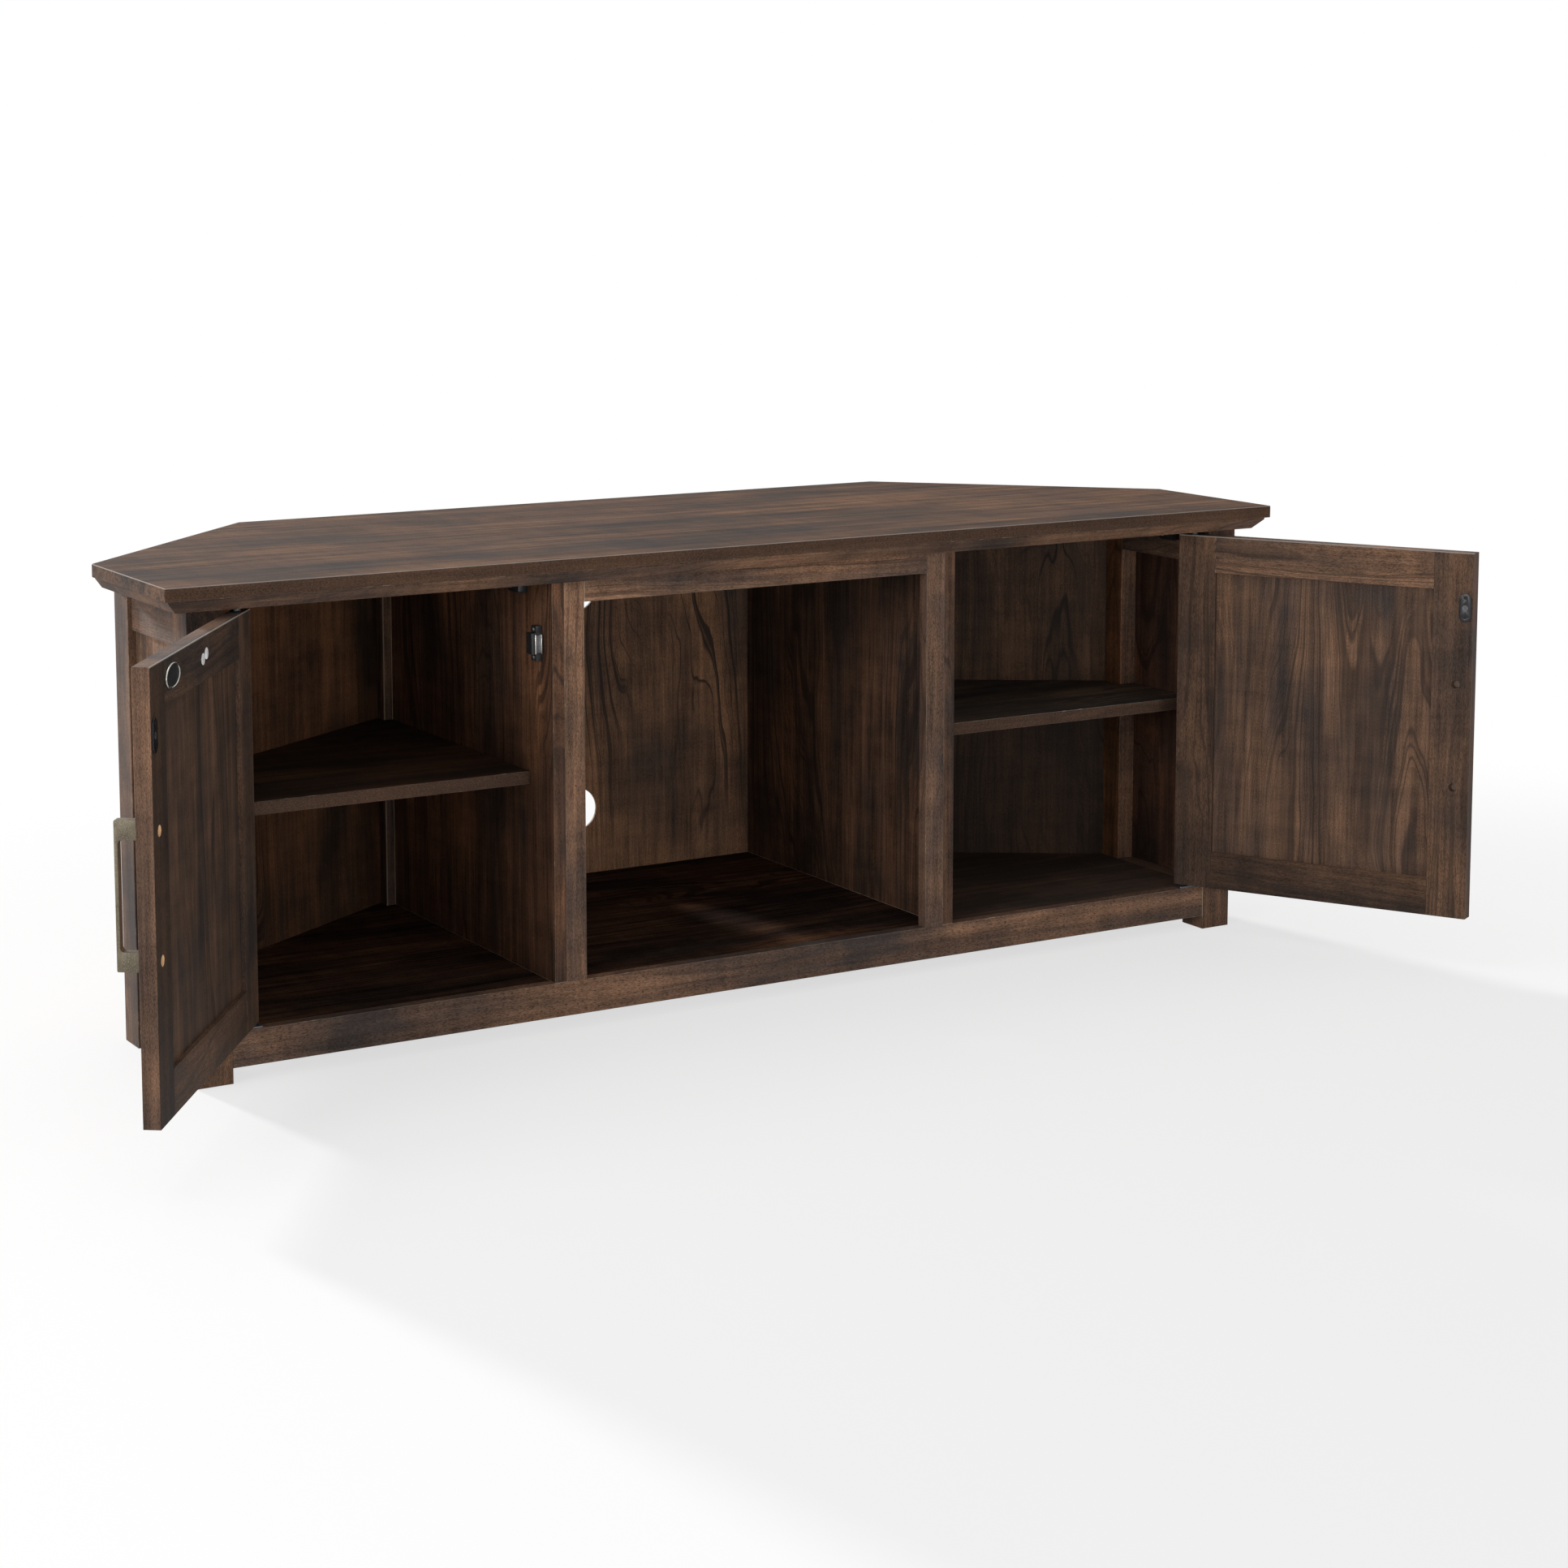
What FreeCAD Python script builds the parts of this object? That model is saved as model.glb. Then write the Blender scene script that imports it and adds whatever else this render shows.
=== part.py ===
import FreeCAD, Part
import math
import os
import Sketcher

# A corner cabinet for a television. X runs to the viewer's right along the front,
# Y runs back to the room corner, Z is up. The origin is on the floor under the centre foot.
doc = FreeCAD.newDocument("CornerTvCabinet")
sheet = doc.addObject("Spreadsheet::Sheet", "Dimensions")
rows = []


def size(alias, value):
    """One driving dimension in millimetres or degrees."""
    rows.append(alias)
    sheet.set("A" + str(len(rows)), alias)
    sheet.set("B" + str(len(rows)), str(value))
    sheet.setAlias("B" + str(len(rows)), alias)


# Top: a six-sided slab with a bevelled moulding under its front and side edges.
size("total_height", 549)
size("top_thickness", 15)
size("top_half", 736.5)
size("top_front", -255)
size("top_side_rear", -25)
size("top_rear_half", 456.5)
size("top_rear", 255)
size("underside", 534)
size("moulding_bottom", 519.5)
size("moulding_lip", 2.5)
size("moulding_inset", 5.5)
size("moulding_bevel", 11.5)
# Legs and the case between them.
size("case_front", -225)
size("case_half", 703.5)
size("leg_side", 42)
size("leg_inner", 661.5)
size("leg_bottom", 0.5)
size("front_leg_rear", -183)
size("rear_leg_front", -43)
size("rear_leg_rear", -1)
size("board", 15)
size("board_front_rear", -210)
size("rail_bottom", 17.5)
size("floor_top", 57.5)
size("rail_height", 40)
size("side_rail_outer", 698.5)
size("side_rail_bottom", 475)
size("side_rail_height", 59)
size("panel_inner", 685)
size("panel_thickness", 9)
size("panel_tongue", 6)
# Partitions, centre opening and the battens behind the partitions.
size("partition_inner", 257.5)
size("partition_outer", 272.5)
size("back_inner", 246.5)
size("stile_inner", 232)
size("centre_rail_bottom", 494)
size("stretcher_rear", -135)
size("batten_width", 12)
size("batten_front", 217)
# Rear panels: a flat one behind the centre, two at 33 degrees behind the doors.
size("back_thickness", 3)
size("angled_front", -9)
size("angled_rear", 244)
size("angled_drop", 0.65039)
size("angled_depth", 3.579)
size("cable_hole", 27.5)
size("cable_hole_low", 144)
size("cable_hole_high", 433)
# Shelves on pins.
size("shelf_bottom", 279)
size("shelf_front", -167)
size("shelf_gap", 1)
size("pin_radius", 2.5)
# Doors, measured from their pivot axis with the door shut.
size("pivot_x", 643.5)
size("pivot_y", -217.5)
size("door_bottom", 61)
size("door_height", 453.5)
size("door_front", -7.5)
size("door_thickness", 18)
size("door_hinge_edge", -16)
size("door_free_edge", 369)
size("door_stile", 50)
size("door_rail", 46.5)
size("door_panel_front", -0.5)
size("door_panel_thickness", 6)
size("left_open", 125.7)
size("right_open", 119.2)
size("handle_x", 349)
size("handle_middle", 288)
size("handle_reach", 25.7)
size("handle_width", 11)
size("handle_length", 150)
size("handle_foot", 19.6)
size("handle_grip", 3.6)
size("strike_x", 359.4)
size("strike_middle", 447)
doc.recompute()


def number(token):
    """The value of one word of a sum: an alias, a plain number, or either halved."""
    sign = 1
    if token.startswith("-"):
        sign = -1
        token = token[1:]
    name, _, divisor = token.partition("/")
    value = float(getattr(sheet, name)) if name in rows else float(name)
    return sign * value / float(divisor or 1)


def amount(text):
    """The value of a sum such as 'leg_inner + 6'."""
    total = 0.0
    sign = 1
    for token in str(text).split():
        if token in ("+", "-"):
            sign = 1 if token == "+" else -1
        else:
            total += sign * number(token)
            sign = 1
    return total


def bound(text, side=1):
    """The same sum as an expression on the sheet, mirrored for side -1."""
    words = []
    for token in str(text).split():
        lead = "-" if len(token) > 1 and token.startswith("-") else ""
        bare = token[len(lead):]
        name = bare.partition("/")[0]
        if name in rows:
            bare = "Dimensions." + bare
        words.append(lead + bare)
    return str(side) + " * (" + " ".join(words) + ")"


def plane(body, role):
    """One of the three base planes of a body."""
    return [item for item in body.Origin.OriginFeatures if item.Role == role][0]


def new_sketch(body, name, role, lift=0.0):
    """A sketch on a base plane of its own body, lifted along the plane's normal."""
    sketch = body.newObject("Sketcher::SketchObject", name)
    sketch.AttachmentSupport = (plane(body, role), [""])
    sketch.MapMode = "FlatFace"
    sketch.AttachmentOffset = FreeCAD.Placement(FreeCAD.Vector(0, 0, lift), FreeCAD.Rotation())
    return sketch


def outline(sketch, corners, side=1):
    """A closed polygon whose corners are each bound to the sheet."""
    spots = [FreeCAD.Vector(side * amount(x), amount(y), 0) for x, y in corners]
    count = len(spots)
    for index in range(count):
        sketch.addGeometry(Part.LineSegment(spots[index], spots[(index + 1) % count]), False)
    for index in range(count):
        sketch.addConstraint(Sketcher.Constraint("Coincident", index, 2, (index + 1) % count, 1))
    for index, (x, y) in enumerate(corners):
        along = sketch.addConstraint(
            Sketcher.Constraint("DistanceX", -1, 1, index, 1, spots[index].x))
        across = sketch.addConstraint(
            Sketcher.Constraint("DistanceY", -1, 1, index, 1, spots[index].y))
        sketch.setExpression("Constraints[" + str(along) + "]", bound(x, side))
        sketch.setExpression("Constraints[" + str(across) + "]", bound(y))


def circles(sketch, spots, radius):
    """Circles of one radius at the given spots."""
    for x, y in spots:
        circle = Part.Circle(FreeCAD.Vector(amount(x), amount(y), 0), FreeCAD.Vector(0, 0, 1), 1)
        index = sketch.addGeometry(circle, False)
        wide = sketch.addConstraint(Sketcher.Constraint("Radius", index, amount(radius)))
        along = sketch.addConstraint(
            Sketcher.Constraint("DistanceX", -1, 1, index, 3, amount(x)))
        across = sketch.addConstraint(
            Sketcher.Constraint("DistanceY", -1, 1, index, 3, amount(y)))
        sketch.setExpression("Constraints[" + str(wide) + "]", bound(radius))
        sketch.setExpression("Constraints[" + str(along) + "]", bound(x))
        sketch.setExpression("Constraints[" + str(across) + "]", bound(y))


def board(label, corners, bottom, height, side=1):
    """A board cut to a plan outline, standing on a level and rising by a height."""
    body = doc.addObject("PartDesign::Body", label)
    body.Label = label
    body.Placement.Base = FreeCAD.Vector(0, 0, amount(bottom))
    body.setExpression("Placement.Base.z", bound(bottom))
    sketch = new_sketch(body, "Outline", "XY_Plane")
    outline(sketch, corners, side)
    pad = body.newObject("PartDesign::Pad", "Thickness")
    pad.Profile = sketch
    pad.Length = amount(height)
    pad.setExpression("Length", bound(height))
    sketch.Visibility = False
    doc.recompute()
    return body


def box(left, right, front, rear):
    """The four plan corners of a rectangular piece."""
    return [(left, front), (right, front), (right, rear), (left, rear)]


def ease(body, amount_off, chosen):
    """A small chamfer on the edges that the test picks."""
    tip = body.Tip
    names = []
    for index, edge in enumerate(tip.Shape.Edges):
        ends = [vertex.Point for vertex in edge.Vertexes]
        if len(ends) == 2 and chosen(ends[0], ends[1]):
            names.append("Edge" + str(index + 1))
    chamfer = body.newObject("PartDesign::Chamfer", "Eased")
    chamfer.Base = (tip, names)
    chamfer.Size = amount_off
    tip.Visibility = False
    doc.recompute()
    if not chamfer.Shape.isValid() or chamfer.State != ["Up-to-date"]:
        print("chamfer state", body.Label, chamfer.State, len(names))


def upright(one, two):
    """True for a vertical edge."""
    return abs(one.x - two.x) < 0.01 and abs(one.y - two.y) < 0.01


def front_upright(one, two):
    """True for a vertical edge on the front plane of the case."""
    return upright(one, two) and abs(one.y - amount("case_front")) < 0.01


def front_level(one, two):
    """True for a level edge on the front plane of the case."""
    level = abs(one.z - two.z) < 0.01
    front = amount("case_front")
    return level and abs(one.y - front) < 0.01 and abs(two.y - front) < 0.01


def sink(body, spots, radius, role, lift, depth):
    """Blind round holes cut from a level into the body."""
    before = body.Shape.Volume
    sketch = new_sketch(body, "Holes", role, lift)
    circles(sketch, spots, radius)
    pocket = body.newObject("PartDesign::Pocket", "Bored")
    pocket.Profile = sketch
    pocket.Length = depth
    sketch.Visibility = False
    doc.recompute()
    wanted = len(spots) * math.pi * amount(radius) ** 2 * depth
    if abs(before - body.Shape.Volume - wanted) > 0.1 * wanted:
        pocket.Reversed = True
        doc.recompute()
    if abs(before - body.Shape.Volume - wanted) > 0.1 * wanted:
        print("hole volume", body.Label, before - body.Shape.Volume, wanted)


def let_in(label, piece, tools):
    """The finished piece: the raw one with its neighbours' shapes cut out of it."""
    piece.Label = label + "_blank"
    result = piece
    for order, tool in enumerate(tools):
        cut = doc.addObject("Part::Cut", label + "_cut" + str(order))
        cut.Base = result
        cut.Tool = tool
        cut.Label = label + "_step" + str(order)
        result = cut
    result.Label = label
    doc.recompute()
    return result


def rod(label, radius, start, end):
    """A round bar between two points, as a shape."""
    way = end.sub(start)
    return Part.makeCylinder(radius, way.Length, start, way)


def group(label, shapes):
    """Several equal small pieces kept together under one name."""
    feature = doc.addObject("Part::Feature", label)
    feature.Label = label
    feature.Shape = Part.makeCompound(shapes)
    return feature


def vec(x, y, z):
    return FreeCAD.Vector(x, y, z)


def pan_screw(seat, way):
    """A pan-head screw of 3.5 by 22 with a cross slot. The seat is under its head."""
    head = Part.makeCylinder(3.5, 2.2, vec(0, 0, -2.2), vec(0, 0, 1))
    rim = [edge for edge in head.Edges if edge.Closed and edge.Vertexes[0].Z < -2]
    head = head.makeFillet(1.2, rim)
    shank = Part.makeCylinder(1.75, 19, vec(0, 0, 0), vec(0, 0, 1))
    point = Part.makeCone(1.75, 0.3, 3, vec(0, 0, 19), vec(0, 0, 1))
    slot = Part.makeBox(4.2, 0.9, 1.2, vec(-2.1, -0.45, -2.3))
    cross = Part.makeBox(0.9, 4.2, 1.2, vec(-0.45, -2.1, -2.3))
    screw = head.fuse([shank, point]).cut(slot).cut(cross)
    screw.Placement = FreeCAD.Placement(seat, FreeCAD.Rotation(vec(0, 0, 1), way))
    return screw


def flat_screw(seat, way, head_radius, radius, length, slotted=True):
    """A countersunk screw, with its cross slot or plain. The seat is the top of its head."""
    sink_depth = head_radius - radius
    head = Part.makeCone(head_radius, radius, sink_depth, vec(0, 0, 0), vec(0, 0, 1))
    shank = Part.makeCylinder(radius, length - sink_depth - 2, vec(0, 0, sink_depth), vec(0, 0, 1))
    point = Part.makeCone(radius, 0.3, 2, vec(0, 0, length - 2), vec(0, 0, 1))
    wide = head_radius * 1.1
    slot = Part.makeBox(wide, 0.8, 1.2, vec(-wide / 2, -0.4, -0.2))
    cross = Part.makeBox(0.8, wide, 1.2, vec(-0.4, -wide / 2, -0.2))
    screw = head.fuse([shank, point])
    if slotted:
        screw = screw.cut(slot).cut(cross)
    screw.Placement = FreeCAD.Placement(seat, FreeCAD.Rotation(vec(0, 0, 1), way))
    return screw


# ---- top and mouldings

def top_panel():
    corners = [("-top_half", "top_front"), ("top_half", "top_front"),
               ("top_half", "top_side_rear"), ("top_rear_half", "top_rear"),
               ("-top_rear_half", "top_rear"), ("-top_half", "top_side_rear")]
    body = board("top_panel", corners, "underside", "top_thickness")
    ease(body, 0.8, lambda one, two: True)
    return body


def profile_bar(label, role, points, reach):
    """A long bar of moulding section before its ends are mitred."""
    body = doc.addObject("PartDesign::Body", label)
    sketch = new_sketch(body, "Section", role)
    outline(sketch, points)
    pad = body.newObject("PartDesign::Pad", "Run")
    pad.Profile = sketch
    pad.Length = reach
    pad.Midplane = True
    sketch.Visibility = False
    doc.recompute()
    return body


def front_moulding():
    section = [("case_front", "moulding_bottom"), ("case_front", "underside"),
               ("top_front + moulding_inset", "underside"),
               ("top_front + moulding_inset", "underside - moulding_lip"),
               ("top_front + moulding_inset + moulding_bevel", "moulding_bottom")]
    bar = profile_bar("front_moulding_bar", "YZ_Plane", section, 1600)
    plan = [("-top_half", "top_front"), ("top_half", "top_front"),
            ("case_half + 3", "case_front"), ("-case_half - 3", "case_front")]
    mitre = board("front_moulding_plan", plan, "moulding_bottom - 1", "17")
    common = doc.addObject("Part::Common", "front_moulding")
    common.Base = bar
    common.Tool = mitre
    common.Label = "front_moulding"
    doc.recompute()
    return common


def side_moulding(name, side):
    section = [("case_half", "moulding_bottom"),
               ("top_half - moulding_inset - moulding_bevel", "moulding_bottom"),
               ("top_half - moulding_inset", "underside - moulding_lip"),
               ("top_half - moulding_inset", "underside"), ("case_half", "underside")]
    turned = [(x if side > 0 else "-" + x.replace(" - ", " + "), z) for x, z in section]
    bar = profile_bar(name + "_bar", "XZ_Plane", turned, 700)
    plan = [("top_half", "top_front"), ("top_half", "top_side_rear"),
            ("case_half", "top_side_rear + 33"), ("case_half", "case_front"),
            ("case_half + 3", "case_front")]
    mitre = board(name + "_plan", plan, "moulding_bottom - 1", "17", side)
    common = doc.addObject("Part::Common", name)
    common.Base = bar
    common.Tool = mitre
    common.Label = name
    doc.recompute()
    return common


# ---- legs, rails and side panels

def leg(name, side, front, rear, tools):
    corners = box("leg_inner", "case_half", front, rear)
    body = board(name + "_post", corners, "leg_bottom", "underside - leg_bottom", side)
    ease(body, 0.6, upright)
    middle = (amount(front) + amount(rear)) / 2
    spot = (str(side * (amount("leg_inner") + 21)), str(middle))
    sink(body, [spot], "10", "XY_Plane", 0.0, 2.5)
    return let_in(name, body, tools)


def side_rail(name, side, bottom, height, tools):
    corners = box("leg_inner", "side_rail_outer", "front_leg_rear", "rear_leg_front")
    body = board(name + "_rail", corners, bottom, height, side)
    return let_in(name, body, tools)


def side_panel(name, side, tools):
    corners = box("panel_inner", "panel_inner + panel_thickness",
                  "front_leg_rear - panel_tongue", "rear_leg_front + panel_tongue")
    body = board(name + "_sheet", corners, "floor_top - panel_tongue",
                 "side_rail_bottom - floor_top + 12", side)
    return let_in(name, body, tools)


# ---- bottom, front rail, partitions and centre opening

def bottom_panel(tools):
    corners = [("-leg_inner", "board_front_rear"), ("leg_inner", "board_front_rear"),
               ("leg_inner", "angled_front"), ("partition_outer", "angled_rear"),
               ("partition_outer", "back_inner"), ("-partition_outer", "back_inner"),
               ("-partition_outer", "angled_rear"), ("-leg_inner", "angled_front")]
    body = board("bottom_panel_sheet", corners, "floor_top - board", "board")
    return let_in("bottom_panel", body, tools)


def bottom_front_rail(tools):
    corners = box("-leg_inner", "leg_inner", "case_front", "board_front_rear")
    body = board("bottom_front_rail_bar", corners, "rail_bottom", "rail_height")
    ease(body, 0.6, front_level)
    spots = [("-pivot_x", "pivot_y"), ("pivot_x", "pivot_y")]
    sink(body, spots, "4.5", "XY_Plane", amount("rail_height"), 8.0)
    return let_in("bottom_front_rail", body, tools)


def partition(name, side, tools):
    corners = box("partition_inner", "partition_outer", "case_front", "back_inner")
    body = board(name + "_sheet", corners, "floor_top", "underside - floor_top", side)
    ease(body, 0.4, front_upright)
    return let_in(name, body, tools)


def centre_stile(name, side):
    corners = box("stile_inner", "partition_inner", "case_front", "board_front_rear")
    body = board(name, corners, "floor_top", "underside - floor_top", side)
    ease(body, 0.4, front_upright)
    return body


def centre_top_rail():
    corners = box("-stile_inner", "stile_inner", "case_front", "board_front_rear")
    body = board("centre_top_rail", corners, "centre_rail_bottom", "underside - centre_rail_bottom")
    ease(body, 0.5, front_level)
    return body


def top_stretcher(name, side, tools):
    corners = box("partition_outer", "leg_inner", "case_front", "stretcher_rear")
    body = board(name + "_sheet", corners, "moulding_bottom", "underside - moulding_bottom", side)
    spot = (str(side * amount("pivot_x")), "pivot_y")
    sink(body, [spot], "4.5", "XY_Plane", 0.0, 8.0)
    return let_in(name, body, tools)


def batten(name, side):
    corners = [("partition_outer", "batten_front"),
               ("partition_outer + batten_width", "batten_front"),
               ("partition_outer + batten_width", "angled_rear - 7.805"),
               ("partition_outer", "angled_rear")]
    body = board(name, corners, "floor_top", "underside - floor_top", side)
    ease(body, 0.4, lambda one, two: upright(one, two) and one.y < amount("batten_front") + 1)
    return body


# ---- backs

def centre_back_panel(tools):
    body = doc.addObject("PartDesign::Body", "centre_back_sheet")
    body.Placement.Base = vec(0, amount("back_inner + back_thickness"), 0)
    body.setExpression("Placement.Base.y", bound("back_inner + back_thickness"))
    sketch = new_sketch(body, "Outline", "XZ_Plane")
    outline(sketch, box("-partition_outer", "partition_outer",
                        "floor_top - board", "underside"))
    circles(sketch, [("0.001", "cable_hole_low"), ("0.001", "cable_hole_high")], "cable_hole")
    pad = body.newObject("PartDesign::Pad", "Thickness")
    pad.Profile = sketch
    pad.Length = amount("back_thickness")
    pad.setExpression("Length", bound("back_thickness"))
    sketch.Visibility = False
    doc.recompute()
    return let_in("centre_back_panel", body, tools)


def angled_back_panel(name, side, tools):
    corners = [("partition_outer", "angled_rear"),
               ("leg_inner + panel_tongue", "angled_front - 3.902"),
               ("leg_inner + panel_tongue", "angled_front - 3.902 + angled_depth"),
               ("partition_outer", "angled_rear + angled_depth")]
    body = board(name + "_sheet", corners, "floor_top - board", "underside - floor_top + board", side)
    return let_in(name, body, tools) if tools else body


# ---- shelves

def shelf(name, side):
    corners = [("partition_outer + shelf_gap", "shelf_front"),
               ("panel_inner - shelf_gap", "shelf_front"),
               ("panel_inner - shelf_gap", "rear_leg_front - shelf_gap"),
               ("leg_inner - shelf_gap", "rear_leg_front - shelf_gap"),
               ("leg_inner - shelf_gap", "angled_front - 0.55"),
               ("partition_outer + batten_width + shelf_gap", "angled_rear - 9.65"),
               ("partition_outer + batten_width + shelf_gap", "batten_front - shelf_gap"),
               ("partition_outer + shelf_gap", "batten_front - shelf_gap")]
    body = board(name, corners, "shelf_bottom", "board", side)
    front = amount("shelf_front")
    ease(body, 0.5, lambda one, two: abs(one.y - front) < 0.01 and abs(two.y - front) < 0.01)
    return body


def shelf_pins():
    shapes = []
    level = amount("shelf_bottom - pin_radius")
    wall = amount("partition_outer")
    panel = amount("panel_inner")
    radius = amount("pin_radius")
    for side in (-1, 1):
        for depth in (-130, 150):
            start = vec(side * (wall - 7), depth, level)
            shapes.append(rod("pin", radius, start, vec(side * (wall + 8), depth, level)))
        for depth in (-150, -62):
            start = vec(side * (panel + 7), depth, level)
            shapes.append(rod("pin", radius, start, vec(side * (panel - 8), depth, level)))
    return group("shelf_pins", shapes)


# ---- catches, blocks, hinge plates, feet

def block_shapes():
    """Four moulded blocks that tie the stretchers to the partitions and the side rails."""
    shapes = []
    top = amount("moulding_bottom")
    for side in (-1, 1):
        for near in (amount("partition_outer"), amount("leg_inner") - 12):
            left = min(side * near, side * (near + 12))
            shape = Part.makeBox(12, 26, 20, vec(left, -164, top - 20))
            low = [edge for edge in shape.Edges
                   if all(abs(v.Z - (top - 20)) < 0.01 for v in edge.Vertexes)]
            shape = shape.makeFillet(3, low)
            bore = Part.makeCylinder(4, 10, vec(left + 6, -157.5, top - 20), vec(0, 0, 1))
            shapes.append(shape.cut(bore))
    return shapes


def catch_shape(side):
    """The housing of one magnetic catch with an ear above and below."""
    wall = side * amount("partition_outer")
    far = wall + side * 14
    ear = wall + side * 8
    main = Part.makeBox(14, 14.4, 24, vec(min(wall, far), -201, 434.5))
    main = main.makeFillet(1.2, [edge for edge in main.Edges if abs(edge.Length - 24) < 0.01])
    low = Part.makeBox(8, 12, 9, vec(min(wall, ear), -200, 426.5))
    high = Part.makeBox(8, 12, 9, vec(min(wall, ear), -200, 457.5))
    return main.fuse([low, high]).removeSplitter()


def catch_magnet_shapes():
    """For each catch a magnet block between two steel pole plates."""
    shapes = []
    for side in (-1, 1):
        wall = side * amount("partition_outer")
        plates = []
        for step in (2.5, 10.0):
            one = wall + side * step
            two = wall + side * (step + 1.5)
            plates.append(Part.makeBox(1.5, 15.2, 22, vec(min(one, two), -205.2, 435.5)))
        one = wall + side * 4
        two = wall + side * 10
        magnet = Part.makeBox(6, 13, 20, vec(min(one, two), -203, 436.5))
        shapes.append(magnet.fuse(plates).removeSplitter())
    return shapes


def hinge_plate_shapes():
    """Two plates per door with a bushing that the door pin turns in."""
    shapes = []
    for side in (-1, 1):
        x = side * amount("pivot_x")
        y = amount("pivot_y")
        for face, way in ((amount("floor_top"), 1), (amount("moulding_bottom"), -1)):
            near = min(face, face + 2 * way)
            plate = Part.makeBox(36, 13, 2, vec(x - 18, y - 6.5, near))
            plate = plate.makeFillet(2, [edge for edge in plate.Edges if abs(edge.Length - 2) < 0.01])
            boss = Part.makeCylinder(4.5, 8, vec(x, y, face), vec(0, 0, -way))
            bore = Part.makeCylinder(2.55, 14, vec(x, y, face + 4 * way), vec(0, 0, -way))
            shapes.append(plate.fuse(boss).removeSplitter().cut(bore))
    return shapes


def hinge_screw_shapes(slotted):
    """Two countersunk screws of 2.8 by 12 in each hinge plate."""
    shapes = []
    for side in (-1, 1):
        for face, way in ((amount("floor_top") + 2, -1), (amount("moulding_bottom") - 2, 1)):
            for step in (-12, 12):
                seat = vec(side * amount("pivot_x") + step, amount("pivot_y"), face)
                shapes.append(flat_screw(seat, vec(0, 0, way), 2.9, 1.4, 12, slotted))
    return shapes


def case_screw_shapes():
    """Every pan-head screw of the case, all of one kind."""
    shapes = []
    under = amount("moulding_bottom")
    rear = amount("back_inner + back_thickness")
    tilt = math.atan(amount("angled_drop"))
    for side in (-1, 1):
        for x in (330, 467, 604):
            shapes.append(pan_screw(vec(side * x, -180, under), vec(0, 0, 1)))
        for x, way in ((278.5, -1), (655.5, 1)):
            shapes.append(pan_screw(vec(side * x, -157.5, under - 10), vec(0, 0, 1)))
            seat = vec(side * (x - 6 * way), -144.5, under - 12)
            shapes.append(pan_screw(seat, vec(side * way, 0, 0)))
        for z in (430.6, 462.4):
            shapes.append(pan_screw(vec(side * 280.5, -194, z), vec(-side, 0, 0)))
        for z in (80, 290, 500):
            shapes.append(pan_screw(vec(side * 265, rear, z), vec(0, -1, 0)))
        for y in (-120, 60, 200):
            shapes.append(pan_screw(vec(side * 265, y, amount("floor_top - board")), vec(0, 0, 1)))
        shapes.append(pan_screw(vec(side * 150, rear, 50), vec(0, -1, 0)))
        way = vec(-side * math.sin(tilt), -math.cos(tilt), 0)
        for x in (350, 470, 590):
            depth = amount("angled_rear") - (x - amount("partition_outer")) * amount("angled_drop")
            seat = vec(side * x, depth, 50).sub(vec(way.x, way.y, 0).multiply(3.02))
            shapes.append(pan_screw(seat, way))
    return shapes


def foot_glide_shapes():
    """Four hard plastic discs let into the leg ends."""
    shapes = []
    for side in (-1, 1):
        for y in (-204, -22):
            disc = Part.makeCylinder(10, 3, vec(side * 682.5, y, 0), vec(0, 0, 1))
            rim = [edge for edge in disc.Edges if edge.Closed and edge.Vertexes[0].Z < 0.1]
            shapes.append(disc.makeFillet(0.4, rim))
    return shapes


def centre_foot():
    corners = box("-21", "21", "-21", "21")
    body = board("centre_foot", corners, "0", "floor_top - board")
    ease(body, 0.8, upright)
    return body


# ---- doors: modelled shut about their pivot axis, then swung to the rest pose

def door_placement(side):
    """Where a door stands in the rest pose."""
    angle = -amount("left_open") if side > 0 else amount("right_open")
    spot = vec(-side * amount("pivot_x"), amount("pivot_y"), 0)
    return FreeCAD.Placement(spot, FreeCAD.Rotation(vec(0, 0, 1), angle))


def door_board(name, side, left, right, bottom, height):
    front = "door_front"
    corners = box(left, right, front, "door_front + door_thickness")
    body = board(name + "_bar", corners, bottom, height, side)
    return body


def door_panel_sheet(name, side):
    corners = box("door_hinge_edge + door_stile - 6", "door_free_edge - door_stile + 6",
                  "door_panel_front", "door_panel_front + door_panel_thickness")
    return board(name, corners, "door_bottom + door_rail - 6",
                 "door_height - door_rail - door_rail + 12", side)


def door_pivot_shapes(side):
    """Top and bottom pin, each with its mortised plate and a spacing washer."""
    shapes = []
    low = amount("door_bottom")
    high = amount("door_bottom + door_height")
    start = min(side * -12, side * 28)
    for face, way, washer, out in ((low, -1, 1.4, 11), (high, 1, 2.9, 12.5)):
        near = face if way < 0 else face - 2
        plate = Part.makeBox(40, 12, 2, vec(start, -6, near))
        ring = Part.makeCylinder(4.5, washer, vec(0, 0, face), vec(0, 0, way))
        tail = vec(0, 0, face - 12 * way)
        pin = Part.makeCylinder(2.5, 12 + out, tail, vec(0, 0, way))
        shapes.append(plate.fuse([ring, pin]).removeSplitter())
    return shapes


def door_screw_shapes(side, slotted):
    """Countersunk screws of 4 by 16: two for the handle and one for the strike plate."""
    shapes = []
    inner = amount("door_front + door_thickness")
    x = side * amount("handle_x")
    for step in (-64, 64):
        seat = vec(x, inner - 8, amount("handle_middle") + step)
        shapes.append(flat_screw(seat, vec(0, -1, 0), 3.8, 2, 16, slotted))
    seat = vec(side * amount("strike_x"), inner + 1.5, amount("strike_middle"))
    shapes.append(flat_screw(seat, vec(0, -1, 0), 3.8, 2, 16, slotted))
    return shapes


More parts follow.
